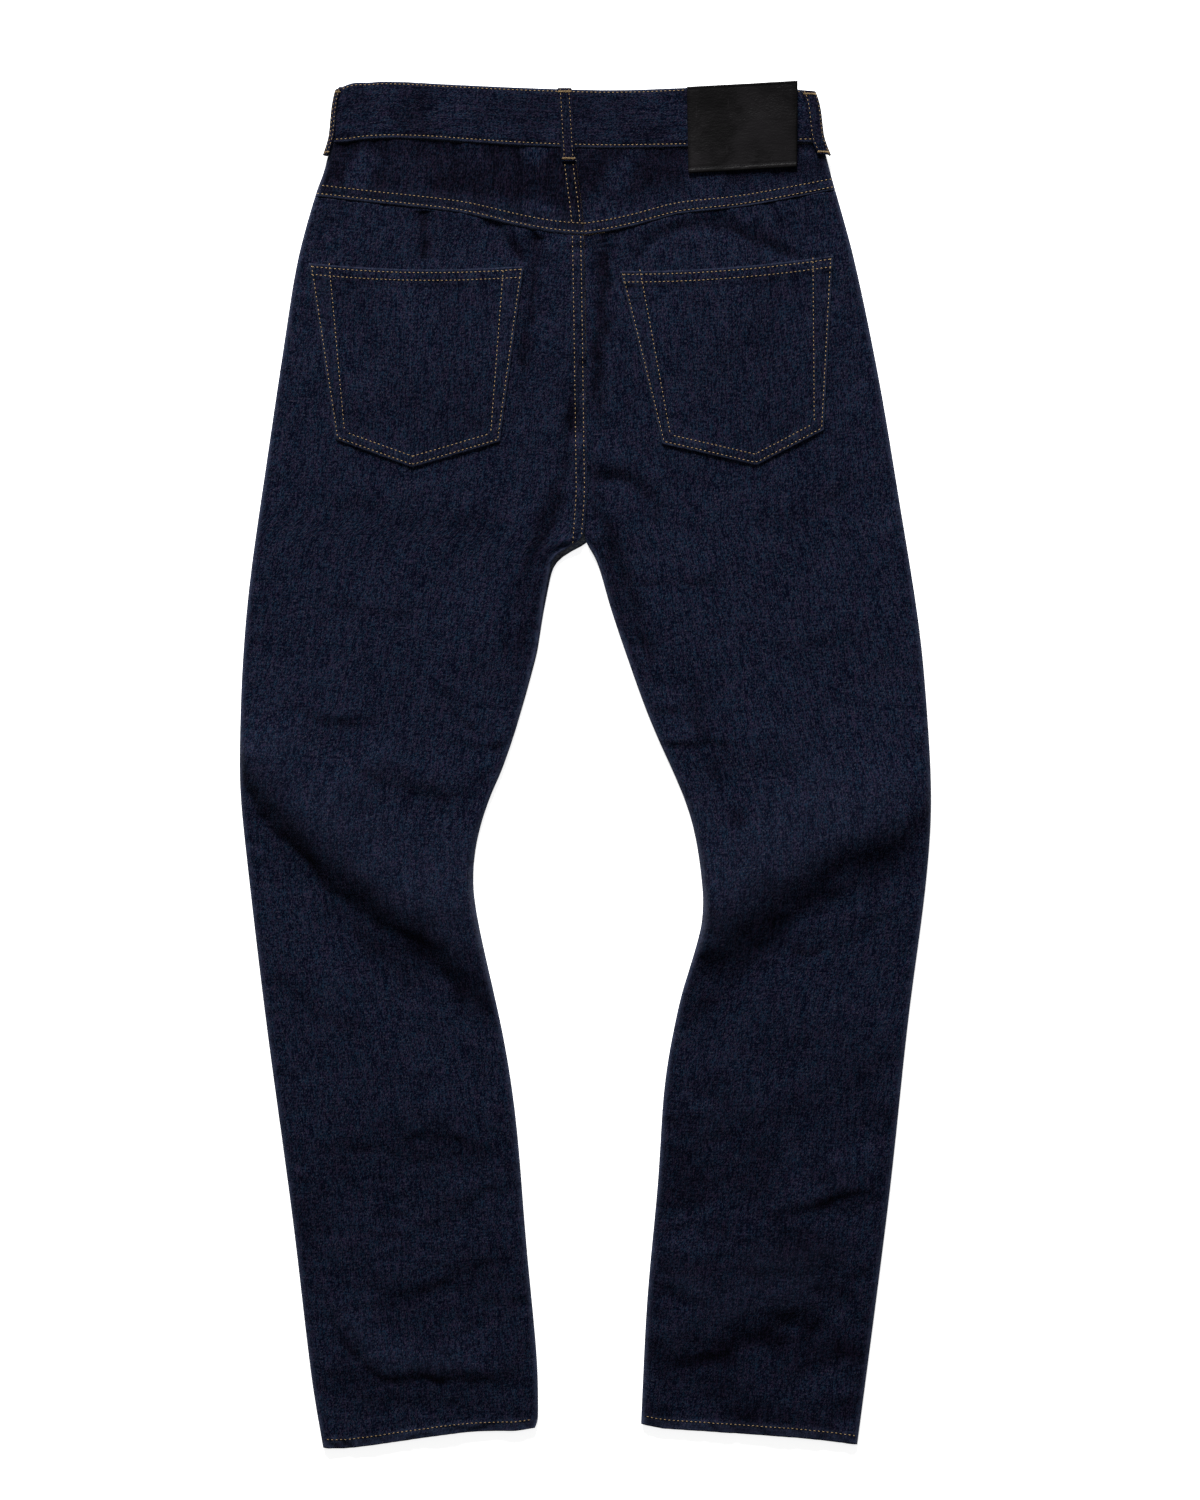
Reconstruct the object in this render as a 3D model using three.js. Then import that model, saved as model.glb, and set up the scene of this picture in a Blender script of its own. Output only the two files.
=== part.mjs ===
// Slim fit jeans of dark indigo denim, laid face down on a flat surface.
// Frame: x to the wearer's right, y towards the waist, z up from the surface. Millimetres.
// While the pieces are drawn, "across" is x from the centre back and "down" is the distance
// below the waistband's top edge, so y = -down. The last lines centre the garment on its origin.
import * as THREE from "three";

// ---------------------------------------------------------------- driving dimensions

const DENIM = 1.2; // one layer of cloth
const BAND = 2.6; // the waistband, two layers with their turned edges
const LEATHER = 1.5; // the patch
const LOOP = 1.5; // a belt loop, folded in three
const GAP = 0.3; // between pieces that are sewn together
const BAND_GAP = 0.45; // between the waistband and what hangs from it
const SEWN_ON = 0.45; // under a piece that is sewn flat on another

const LEG_HEIGHT = 5.4; // both layers of a leg, as they lie
const BAND_HEIGHT = 9.4; // both layers of the waistband, with the belt loops under them
const BAND_BASE = LOOP + GAP; // the front belt loops hold the waistband off the surface
const EDGE_RADIUS = 2.7; // of the folded edge of a leg
const HEM_DEPTH = 9; // the hem's turned-in edge
const HEM_THICK = 1.9; // thickness of the wall there, in layers of cloth
const CROTCH_DOWN = 351;
const FRONT_DIP = 9; // the waistband lies this much lower at the centre front

// ---------------------------------------------------------------- outline tables

// Outer edge of each leg, from the waistband's seam to the hem.
const OUTER_EDGE = {
  left: [
    { down: 40, across: -198.6 },
    { down: 60, across: -203.2 },
    { down: 80, across: -210.2 },
    { down: 131, across: -224.3 },
    { down: 193, across: -234.4 },
    { down: 287, across: -248.4 },
    { down: 381, across: -261.7 },
    { down: 443, across: -267.2 },
    { down: 505, across: -269.5 },
    { down: 545, across: -269.2 },
    { down: 599, across: -264 },
    { down: 724, across: -249.2 },
    { down: 880, across: -228.2 },
    { down: 1005, across: -213.3 },
    { down: 1057, across: -204.6 },
  ],
  right: [
    { down: 40, across: 184.8 },
    { down: 60, across: 190 },
    { down: 77, across: 194.5 },
    { down: 131, across: 209.4 },
    { down: 225, across: 228.9 },
    { down: 318, across: 244.5 },
    { down: 412, across: 259.4 },
    { down: 474, across: 265.6 },
    { down: 552, across: 269.5 },
    { down: 615, across: 265.6 },
    { down: 724, across: 251.6 },
    { down: 848, across: 238.3 },
    { down: 942, across: 226.6 },
    { down: 1055, across: 211.8 },
  ],
};

// Inner edge of each leg, from the crotch to the hem.
const INSEAM = {
  left: [
    { down: 353, across: -19 },
    { down: 359, across: -23.2 },
    { down: 364, across: -25.2 },
    { down: 370, across: -27 },
    { down: 380, across: -29 },
    { down: 396, across: -32.2 },
    { down: 427, across: -36 },
    { down: 459, across: -43.7 },
    { down: 521, across: -62 },
    { down: 552, across: -75.3 },
    { down: 583, across: -84.6 },
    { down: 615, across: -87.8 },
    { down: 646, across: -83.9 },
    { down: 739, across: -63.6 },
    { down: 802, across: -54.2 },
    { down: 895, across: -46.4 },
    { down: 989, across: -37.8 },
    { down: 1041, across: -36.8 },
  ],
  right: [
    { down: 353, across: 3.4 },
    { down: 361, across: 6.8 },
    { down: 373, across: 11.3 },
    { down: 396, across: 17.5 },
    { down: 427, across: 27.7 },
    { down: 490, across: 50.3 },
    { down: 552, across: 77.6 },
    { down: 583, across: 86.2 },
    { down: 630, across: 91.9 },
    { down: 648, across: 91 },
    { down: 677, across: 83.1 },
    { down: 708, across: 73.7 },
    { down: 771, across: 62 },
    { down: 848, across: 56.6 },
    { down: 942, across: 48 },
    { down: 1038, across: 43.2 },
  ],
};

// How far the left front shows beyond the back, beside the crotch and down the thigh.
const FRONT_SHOWS = curve("down", "by", [
  { down: 353, by: 8 },
  { down: 359, by: 8 },
  { down: 364, by: 3.4 },
  { down: 370, by: 1.8 },
  { down: 396, by: 0.7 },
  { down: 450, by: 0.5 },
  { down: 520, by: 0 },
]);

// Edge of the left back panel along the seat seam, which the yokes' centre seam carries on.
const SEAT_SEAM = curve("down", "across", [
  { down: 36, across: -8.4 },
  { down: 58, across: -7.2 },
  { down: 93, across: -2.6 },
  { down: 115, across: -1.2 },
  { down: 287, across: 1.4 },
  { down: 320, across: 1.6 },
  { down: 352, across: -2 },
]);

// Seam between the yokes and the back legs, right across the seat.
const YOKE_SEAM = curve("across", "down", [
  { across: -212, down: 82 },
  { across: -159, down: 88 },
  { across: -95, down: 95.4 },
  { across: -63, down: 103 },
  { across: -31, down: 109.3 },
  { across: 0, down: 112 },
  { across: 44, down: 103.7 },
  { across: 69, down: 96.5 },
  { across: 123, down: 90.3 },
  { across: 196, down: 76.8 },
]);

// Top and bottom edges of the waistband at the back.
const BAND_EDGES = [
  { across: -202, top: 1.5, bottom: 41.2 },
  { across: -190, top: -5.4, bottom: 39.8 },
  { across: -162, top: -7.2, bottom: 37.4 },
  { across: -127, top: -5.6, bottom: 38 },
  { across: -79, top: -3.4, bottom: 41.2 },
  { across: -22, top: -1.2, bottom: 44.3 },
  { across: 28, top: -0.2, bottom: 45.2 },
  { across: 79, top: -1.9, bottom: 44.2 },
  { across: 125, top: -3.4, bottom: 42.8 },
  { across: 167, top: -3.4, bottom: 41 },
  { across: 190, top: 1.6, bottom: 40.8 },
];
const BAND_TOP = curve("across", "top", BAND_EDGES);
const BAND_SEAM = curve("across", "bottom", BAND_EDGES);

// Bottom edge of each leg.
const HEM = {
  left: curve("across", "down", [
    { across: -204.8, down: 1057 },
    { across: -193, down: 1058 },
    { across: -146, down: 1052 },
    { across: -92, down: 1044.6 },
    { across: -43, down: 1043 },
    { across: -36.5, down: 1039.5 },
  ]),
  right: curve("across", "down", [
    { across: 44.5, down: 1038.5 },
    { across: 51, down: 1041 },
    { across: 99, down: 1044.4 },
    { across: 170, down: 1049.5 },
    { across: 212, down: 1054.6 },
  ]),
};
const HEM_ENDS = { left: { outer: 1057, inner: 1039.5 }, right: { outer: 1054.6, inner: 1038.5 } };

// Rows of points down a leg. Each zone ends at the two depths given, on its outer and inner edge.
const LEG_ZONES = {
  left: [
    { name: "seat", outer: 345, inner: CROTCH_DOWN, rows: 12 },
    { name: "crotch", outer: 368, inner: 376, rows: 3 },
    { name: "thigh", outer: 520, inner: 530, rows: 7 },
    { name: "knee", outer: 715, inner: 715, rows: 15 },
    { name: "shin", ...aboveHem("left"), rows: 16 },
    { name: "hem", ...HEM_ENDS.left, rows: 1 },
  ],
  right: [
    { name: "seat", outer: 345, inner: CROTCH_DOWN, rows: 12 },
    { name: "crotch", outer: 368, inner: 376, rows: 3 },
    { name: "thigh", outer: 520, inner: 530, rows: 7 },
    { name: "knee", outer: 715, inner: 730, rows: 15 },
    { name: "shin", ...aboveHem("right"), rows: 16 },
    { name: "hem", ...HEM_ENDS.right, rows: 1 },
  ],
};

// The upper layer's large folds. A crest runs along path ([across, down] points) and falls
// away over "above" on the waist's side of it and over "below" on the hem's side.
const FOLDS = [
  // The twisted legs buckle at the knees, in one deep slanting fold each.
  { name: "left knee", rise: 9.5, above: 52, below: 15,
    path: [[-290, 490], [-250, 536], [-212, 580], [-148, 634], [-96, 676], [-58, 700]] },
  { name: "right knee", rise: 10, above: 56, below: 20,
    path: [[285, 545], [240, 575], [190, 596], [148, 620], [108, 648], [64, 684]] },
  { name: "right knee, upper", rise: 3, above: 22, below: 26,
    path: [[262, 470], [246, 520], [232, 566]] },
  // Shallower folds below the knees, where the cloth settles towards the hems.
  { name: "left calf", rise: 3.4, above: 38, below: 12,
    path: [[-206, 818], [-146, 809], [-98, 811], [-62, 830]] },
  { name: "left shin", rise: 2.6, above: 26, below: 12,
    path: [[-170, 940], [-106, 917], [-40, 898]] },
  { name: "left hem", rise: 3.6, above: 24, below: 11,
    path: [[-186, 978], [-152, 1000], [-98, 1002], [-34, 990]] },
  { name: "right calf", rise: 3.2, above: 32, below: 12,
    path: [[120, 884], [176, 864], [240, 850]] },
  { name: "right shin", rise: 2.6, above: 24, below: 12,
    path: [[84, 900], [150, 905], [232, 907]] },
  { name: "right hem", rise: 4, above: 34, below: 14,
    path: [[44, 984], [108, 970], [166, 948], [216, 950]] },
  // The thighs, behind the knees, and the fullness of the seat over the crotch.
  { name: "left thigh", rise: 2.2, above: 22, below: 16,
    path: [[-190, 526], [-128, 536], [-70, 528]] },
  { name: "right thigh", rise: 2.2, above: 22, below: 16,
    path: [[60, 504], [120, 506], [170, 500]] },
  { name: "left crotch", rise: 2.6, above: 18, below: 16,
    path: [[-30, 300], [-42, 350], [-66, 410], [-84, 460]] },
  { name: "right crotch", rise: 2.6, above: 18, below: 16,
    path: [[26, 318], [38, 360], [62, 415], [86, 462]] },
];

// Broad fullness of the upper layer: soft domes, sized across and down.
const DOMES = [
  { name: "left seat", across: -118, down: 215, wide: 78, long: 96, rise: 4.6 },
  { name: "right seat", across: 112, down: 212, wide: 78, long: 96, rise: 4.6 },
  { name: "seat seam", across: 0, down: 250, wide: 26, long: 150, rise: 1.6 },
  { name: "left thigh", across: -150, down: 425, wide: 70, long: 110, rise: 2 },
  { name: "right thigh", across: 150, down: 425, wide: 70, long: 110, rise: 2 },
  { name: "left calf", across: -142, down: 770, wide: 60, long: 70, rise: 1.6 },
  { name: "right calf", across: 148, down: 780, wide: 60, long: 70, rise: 1.6 },
];

// What the front lies on, and rises over: the shank button and the front belt loops.
const BUTTON = { across: 4, down: 30, radius: 8.5, thickness: 3, lifts: { from: 14, to: 62 } };
const SETTLES = { from: 12, to: 95 }; // below the waistband, the cloth comes down to the surface
const FRONT_LOOPS = [
  { name: "belt_loop_front_left", across: -98 },
  { name: "belt_loop_front_right", across: 98 },
];
const LOOP_WIDTH = 11;
const LOOP_BELOW_BAND = 10;
const LOOP_CLEAR = 2.4; // of a side loop's end, outside the side seam
const BACK_LOOP = { top: { across: -16.4, down: -1.6 }, bottom: { across: -13, down: 55.5 } };

// The loops at the sides wrap the waistband's fold: angles up from level, and a flat part.
const SIDE_LOOPS = {
  left: { from: -1.1, to: 1.35, inboard: 0 },
  right: { from: -0.35, to: 1.45, inboard: 6 },
};

// Back pockets: corners as [across, down], and how far the mouth sags between its ends.
const BACK_POCKETS = {
  left: {
    mouth: [[-215.2, 134.4], [-48.2, 136.6]],
    foot: [[-194.4, 271.6], [-134.8, 293.2], [-66.8, 273.2]],
    sag: 3.8,
  },
  right: {
    mouth: [[26.8, 140.6], [192.6, 128.4]],
    foot: [[59.8, 274.8], [133, 291.6], [185.4, 264.2]],
    sag: 3.4,
  },
};

const PATCH = {
  top: [[78.8, -2.6], [165, -7.4]],
  bottom: [[80, 64.6], [164.4, 59.6]],
};

// Front pocket openings: from the waistband's seam to the side seam.
const POCKET_MOUTH = {
  left: { waist: -112, side: -221, sideDown: 118 },
  right: { waist: 106, side: 206, sideDown: 118 },
};
const CENTRE_FRONT = 7; // where the left front panel's fly edge meets the right one
const FACING_OVERLAP = 14; // of a pocket facing behind the pocket's mouth
const MOUTH_ROWS = [0, 0.17, 0.34, 0.5, 0.67, 0.84, 0.98]; // shares of the way down a mouth

const FLY_ZIP = { across: 2, top: 56, length: 150, tape: 26, teeth: 5, tapeHeight: 1, height: 2.2 };

// ---------------------------------------------------------------- materials

function material(color, roughness, metalness = 0) {
  return new THREE.MeshStandardMaterial({ color, roughness, metalness });
}

const denim = material(0x161a2a, 0.85);
const leather = material(0x1a1919, 0.5);
const metal = material(0x8a8378, 0.35, 0.9);

// ---------------------------------------------------------------- curves and heights

/** A smooth curve through a table's rows: the value of one column at a value of another. */
function curve(from, to, rows) {
  const last = rows.length - 1;
  const slope = (i) => {
    const before = rows[Math.max(i - 1, 0)];
    const after = rows[Math.min(i + 1, last)];
    return (after[to] - before[to]) / (after[from] - before[from]);
  };
  return (at) => {
    let i = 0;
    while (i < last - 1 && at > rows[i + 1][from]) i++;
    const step = rows[i + 1][from] - rows[i][from];
    const t = clamp((at - rows[i][from]) / step, 0, 1);
    const rest = 1 - t;
    return (
      rows[i][to] * (1 + 2 * t) * rest * rest +
      slope(i) * step * t * rest * rest +
      rows[i + 1][to] * (3 - 2 * t) * t * t -
      slope(i + 1) * step * t * t * rest
    );
  };
}

const { clamp, lerp, smoothstep } = THREE.MathUtils;

/** The two ends of a leg's last row above its hem. */
function aboveHem(side) {
  const { outer, inner } = HEM_ENDS[side];
  return { outer: outer - HEM_DEPTH, inner: inner - HEM_DEPTH };
}

/** The points of a fold's crest, with the direction that it runs in at each. */
function crestOf(fold) {
  const points = fold.path.map(([across, down]) => new THREE.Vector2(across, down));
  const crest = new THREE.SplineCurve(points);
  const steps = 40;
  return Array.from({ length: steps + 1 }, (_, i) => ({
    at: crest.getPoint(i / steps),
    along: crest.getTangent(i / steps),
    share: i / steps,
  }));
}

const CRESTS = FOLDS.map((fold) => ({ ...fold, crest: crestOf(fold) }));

/** How much one fold raises the cloth at a point. */
function foldHeight(fold, across, down) {
  let nearest = fold.crest[0];
  let distance = Infinity;
  for (const knot of fold.crest) {
    const away = Math.hypot(across - knot.at.x, down - knot.at.y);
    if (away < distance) {
      distance = away;
      nearest = knot;
    }
  }
  const { at, along, share } = nearest;
  const side = along.x * (down - at.y) - along.y * (across - at.x);
  const belowCrest = along.x > 0 === side > 0;
  const width = belowCrest ? fold.below : fold.above;
  const ends = smoothstep(share, 0, 0.2) * smoothstep(1 - share, 0, 0.2);
  return fold.rise * ends * Math.exp(-((distance / width) ** 2));
}

/** How much the waist still holds the cloth up at a distance down: 1 at the waistband, then less. */
function nearWaist(across, down) {
  const belowBand = down - BAND_SEAM(across);
  return 1 - smoothstep(belowBand, SETTLES.from, SETTLES.to);
}

/** How far the button's head lifts the layers that lie on it, above what the loops do. */
function lift(across, down) {
  const fromButton = Math.hypot(across - BUTTON.across, down - BUTTON.down);
  const lifted = 1 - smoothstep(fromButton, BUTTON.lifts.from, BUTTON.lifts.to);
  return (BUTTON.thickness + GAP - BAND_BASE) * lifted;
}

/** Height of the front's outer face, which is its underside. */
function frontSurface(across, down) {
  return BAND_BASE * nearWaist(across, down) + lift(across, down);
}

/** Height at which the back and the front meet, along the side seams and inseams. */
function seamHeight(across, down) {
  return LEG_HEIGHT / 2 + (BAND_BASE / 2) * nearWaist(across, down);
}

/** How much lower the front of the waistband lies than the back, at a distance across. */
function dip(across) {
  return FRONT_DIP * Math.max(0, 1 - (across / 185) ** 2);
}

/** Height of the waistband's outer face at the back. */
function bandSurface(across, down) {
  return BAND_HEIGHT + lift(across, down);
}

/** Height of the outer face of the yokes and back legs. */
function backSurface(across, down) {
  let height = LEG_HEIGHT + lift(across, down);
  height += (BAND_HEIGHT - LEG_HEIGHT - 0.9) * nearWaist(across, down);
  for (const dome of DOMES) {
    const off = ((across - dome.across) / dome.wide) ** 2 + ((down - dome.down) / dome.long) ** 2;
    height += dome.rise * Math.exp(-off);
  }
  for (const fold of CRESTS) height += foldHeight(fold, across, down);
  return height;
}

/** Height of what lies on both the waistband and the yokes: it bridges the seam's step. */
function coverSurface(across, down) {
  const belowSeam = down - BAND_SEAM(across);
  const share = smoothstep(belowSeam, 1, 13);
  return lerp(bandSurface(across, down), backSurface(across, down), share);
}

// ---------------------------------------------------------------- walls of cloth

/**
 * A closed wall behind a grid of outer points, grid[row][column]. The outer face is the one
 * seen with the columns running left to right and the rows running down. A knot that is
 * upright has a level normal, as at a folded edge, and one that is plumb has the wall straight
 * below it. None of the wall behind a knot with a limit crosses that height. Thickness is a
 * number or a function of row and column.
 */
function wall(grid, thickness) {
  const rows = grid.length;
  const cols = grid[0].length;
  const depth = typeof thickness === "function" ? thickness : () => thickness;
  const near = (r, c) => grid[clamp(r, 0, rows - 1)][clamp(c, 0, cols - 1)];
  const outer = [];
  const inner = [];
  const normal = new THREE.Vector3();
  for (let r = 0; r < rows; r++) {
    for (let c = 0; c < cols; c++) {
      const downwards = new THREE.Vector3().subVectors(near(r + 1, c).at, near(r - 1, c).at);
      const sideways = new THREE.Vector3().subVectors(near(r, c + 1).at, near(r, c - 1).at);
      normal.crossVectors(downwards, sideways);
      if (near(r, c).upright) normal.z = 0;
      normal.normalize();
      const { at, limit, plumb } = near(r, c);
      if (plumb) normal.set(0, 0, 1);
      const behind = at.clone().addScaledVector(normal, -depth(r, c));
      if (limit !== undefined && (at.z - limit) * (behind.z - limit) < 0) behind.z = limit;
      outer.push(at.x, at.y, at.z);
      inner.push(behind.x, behind.y, behind.z);
    }
  }
  const faces = [];
  const front = (r, c) => r * cols + c;
  const back = (r, c) => rows * cols + r * cols + c;
  const quad = (a, b, c, d) => faces.push(a, b, c, a, c, d);
  for (let r = 0; r < rows - 1; r++) {
    for (let c = 0; c < cols - 1; c++) {
      quad(front(r + 1, c), front(r + 1, c + 1), front(r, c + 1), front(r, c));
      quad(back(r, c), back(r, c + 1), back(r + 1, c + 1), back(r + 1, c));
    }
    quad(front(r, 0), back(r, 0), back(r + 1, 0), front(r + 1, 0));
    quad(front(r + 1, cols - 1), back(r + 1, cols - 1), back(r, cols - 1), front(r, cols - 1));
  }
  for (let c = 0; c < cols - 1; c++) {
    quad(front(0, c + 1), back(0, c + 1), back(0, c), front(0, c));
    quad(front(rows - 1, c), back(rows - 1, c), back(rows - 1, c + 1), front(rows - 1, c + 1));
  }
  const geometry = new THREE.BufferGeometry();
  geometry.setAttribute("position", new THREE.Float32BufferAttribute([...outer, ...inner], 3));
  geometry.setIndex(faces);
  geometry.computeVertexNormals();
  return geometry;
}

/** A grid knot, from a distance across, a distance down and a height. */
function knot(across, down, height, edge = {}) {
  return { at: new THREE.Vector3(across, -down, height), ...edge };
}

/** The same grid with its columns reversed, so that its outer face looks down. */
function turnedOver(grid) {
  return grid.map((row) => [...row].reverse());
}

// Angles of the columns that round a folded edge, from the seam up.
const EDGE_ANGLES = [0, 30, 60].map(THREE.MathUtils.degToRad);

/**
 * Columns from one edge of a panel to the other. Each has its place across and how far it has
 * climbed the folded edge nearest to it, from 0 at the seam to 1 on the flat.
 */
function columnsBetween(low, high, flatColumns) {
  const edge = EDGE_ANGLES.map((angle) => ({
    inset: EDGE_RADIUS * (1 - Math.cos(angle)),
    climb: Math.sin(angle),
  }));
  const flat = Array.from({ length: flatColumns + 1 }, (_, i) => ({
    across: lerp(low + EDGE_RADIUS, high - EDGE_RADIUS, i / flatColumns),
    climb: 1,
    edge: "none",
  }));
  return [
    ...edge.map(({ inset, climb }) => ({ across: low + inset, climb, edge: "low" })),
    ...flat,
    ...edge.map(({ inset, climb }) => ({ across: high - inset, climb, edge: "high" })).reverse(),
  ];
}

/**
 * One row of a panel, between two points of its edges. folded says which of its edges turn
 * over to a side seam or an inseam, surface gives the height of the flat part, and seamSide
 * is 1 on the back, which lies above the seams, and -1 on the front.
 */
function panelRow({ low, high, folded, surface, seamSide, flatColumns, bow = () => 0 }) {
  return columnsBetween(low.across, high.across, flatColumns).map(({ across, climb, edge }) => {
    const share = (across - low.across) / (high.across - low.across);
    const down = lerp(low.down, high.down, share) + bow(across, share);
    const top = surface(across, down);
    if (folded[edge] !== true) return knot(across, down, top);
    const seam = seamHeight(across, down) + seamSide * HALF_GAP;
    return knot(across, down, lerp(seam, top, climb), { upright: climb === 0, limit: seam });
  });
}

/** The depths of a leg's rows on its outer and inner edges, from its top to its hem. */
function legRows(side, topOuter, topInner, thinning = 1) {
  const rows = [{ outer: topOuter, inner: topInner, zone: "seat", share: 0 }];
  let from = { outer: topOuter, inner: topInner };
  for (const zone of LEG_ZONES[side]) {
    const count = zone.name === "crotch" ? zone.rows : Math.ceil(zone.rows / thinning);
    for (let i = 1; i <= count; i++) {
      rows.push({
        outer: lerp(from.outer, zone.outer, i / count),
        inner: lerp(from.inner, zone.inner, i / count),
        zone: zone.name,
        share: i / count,
      });
    }
    from = zone;
  }
  return rows;
}

/** Puts a leg's outer and inner edge points in order across. */
function inOrder(side, outer, inner) {
  return side === "left"
    ? { low: outer, high: inner, lowName: "outer", highName: "inner" }
    : { low: inner, high: outer, lowName: "inner", highName: "outer" };
}

const HALF_GAP = GAP / 2;

/** The seat seam's edge of a back piece: the left one's right edge, or the right one's left. */
function seatEdge(side, down) {
  return SEAT_SEAM(down) + (side === "left" ? -HALF_GAP : HALF_GAP);
}

const OUTER = bothSides(OUTER_EDGE);
const INNER = bothSides(INSEAM);

/** The curves across, by distance down, of a table with a left and a right side. */
function bothSides({ left, right }) {
  return { left: curve("down", "across", left), right: curve("down", "across", right) };
}

// ---------------------------------------------------------------- the pieces

const BACK_COLUMNS = 11; // across the flat of a back leg and of its yoke
const YOKE_CORNERS = { left: -205, right: 190 }; // across, at the side seams
const FRONT_COLUMNS = 4;
const FRONT_THINNING = 1.6; // the plain front has this many times fewer rows
const FLY_END = 160; // depth of the front's inner edge level with the end of a pocket's mouth
const OPENED_BY = 1.6; // how fast a front pocket's mouth curves down towards the side seam

/** Thickness of a leg's wall: doubled at the turned-in hem, except on its folded edges. */
function hemmed(rows, cols) {
  const edge = EDGE_ANGLES.length;
  return (r, c) => (r >= rows - 2 && c >= edge && c < cols - edge ? DENIM * HEM_THICK : DENIM);
}

/** How much further down a point of a leg lies than the straight row through its edges. */
function hemBow(side, row, across) {
  const fading = row.zone === "hem" ? 1 : row.zone === "shin" ? row.share ** 3 : 0;
  if (fading === 0) return 0;
  const { outer, inner } = HEM_ENDS[side];
  const share = (across - OUTER[side](outer)) / (INNER[side](inner) - OUTER[side](outer));
  return fading * (HEM[side](across) - lerp(outer, inner, clamp(share, 0, 1)));
}

/** A back leg, from the yoke's seam to the hem, with the large folds. */
function backLeg(side) {
  const outerTop = YOKE_SEAM(YOKE_CORNERS[side]) + GAP;
  const innerTop = YOKE_SEAM(0) + GAP;
  const grid = legRows(side, outerTop, innerTop).map((row) => {
    const seat = row.zone === "seat";
    const inner = seat ? seatEdge(side, row.inner) : INNER[side](row.inner);
    const { low, high, lowName } = inOrder(
      side,
      { across: OUTER[side](row.outer), down: row.outer },
      { across: inner, down: row.inner },
    );
    const fading = seat ? (1 - row.share) ** 2 : 0;
    const topLine = lowName === "outer" ? [outerTop, innerTop] : [innerTop, outerTop];
    return panelRow({
      low,
      high,
      folded: { low: lowName === "outer" || !seat, high: lowName === "inner" || !seat },
      surface: backSurface,
      seamSide: 1,
      flatColumns: BACK_COLUMNS,
      bow: (across, share) => {
        const fromTop = fading * (YOKE_SEAM(across) + GAP - lerp(...topLine, share));
        return fromTop + hemBow(side, row, across);
      },
    });
  });
  return wall(grid, hemmed(grid.length, grid[0].length));
}

/** A yoke, between the waistband and a back leg. */
function yoke(side) {
  const rows = 5;
  const corner = YOKE_CORNERS[side];
  const grid = Array.from({ length: rows + 1 }, (_, r) => {
    const rowDown = (across) => lerp(BAND_SEAM(across) + BAND_GAP, YOKE_SEAM(across), r / rows);
    const outerDown = rowDown(corner);
    const innerDown = rowDown(0);
    const { low, high, lowName } = inOrder(
      side,
      { across: OUTER[side](outerDown), down: outerDown },
      { across: seatEdge(side, innerDown), down: innerDown },
    );
    return panelRow({
      low,
      high,
      folded: { low: lowName === "outer", high: lowName === "inner" },
      surface: backSurface,
      seamSide: 1,
      flatColumns: BACK_COLUMNS,
      bow: (across, share) => rowDown(across) - lerp(low.down, high.down, share),
    });
  });
  return wall(grid, DENIM);
}

/** The edge of a front pocket's mouth, as a distance across at a depth. */
function mouthEdge(side, down, top) {
  const { waist, side: seam, sideDown } = POCKET_MOUTH[side];
  const share = clamp((down - top) / (sideDown - top), 0, 1);
  return lerp(waist, seam, share ** OPENED_BY);
}

/** A front leg, flat on the surface, with the curved mouth of its pocket cut away. */
function frontLeg(side) {
  const sign = side === "left" ? -1 : 1;
  const top = (across) => BAND_SEAM(across) + dip(across) + BAND_GAP;
  const { waist, sideDown } = POCKET_MOUTH[side];
  const outerTop = top(waist);
  const innerTop = top(CENTRE_FRONT);
  const rows = [
    ...MOUTH_ROWS.map((share) => ({
      outer: lerp(outerTop, sideDown, share),
      inner: lerp(innerTop, FLY_END, share),
      zone: "mouth",
      share,
    })),
    ...legRows(side, sideDown, FLY_END, FRONT_THINNING),
  ];
  const grid = rows.map((row) => {
    const aboveCrotch = row.zone === "mouth" || row.zone === "seat";
    const outer = row.zone === "mouth" ? mouthEdge(side, row.outer, outerTop) : OUTER[side](row.outer);
    const shows = side === "left" ? Math.max(0, FRONT_SHOWS(row.inner)) : 0;
    const inner = aboveCrotch ? CENTRE_FRONT + sign * HALF_GAP : INNER[side](row.inner) + shows;
    const { low, high, lowName } = inOrder(
      side,
      { across: outer, down: row.outer },
      { across: inner, down: row.inner },
    );
    const fading = row.zone === "mouth" ? (1 - row.share) ** 2 : 0;
    const topLine = lowName === "outer" ? [outerTop, innerTop] : [innerTop, outerTop];
    const outerFolds = row.zone !== "mouth";
    return panelRow({
      low,
      high,
      folded: {
        low: lowName === "outer" ? outerFolds : !aboveCrotch,
        high: lowName === "outer" ? !aboveCrotch : outerFolds,
      },
      surface: frontSurface,
      seamSide: -1,
      flatColumns: FRONT_COLUMNS,
      bow: (across, share) => {
        const fromTop = fading * (top(across) - lerp(...topLine, share));
        return fromTop + hemBow(side, row, across);
      },
    });
  });
  return wall(turnedOver(grid), hemmed(grid.length, grid[0].length));
}

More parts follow.
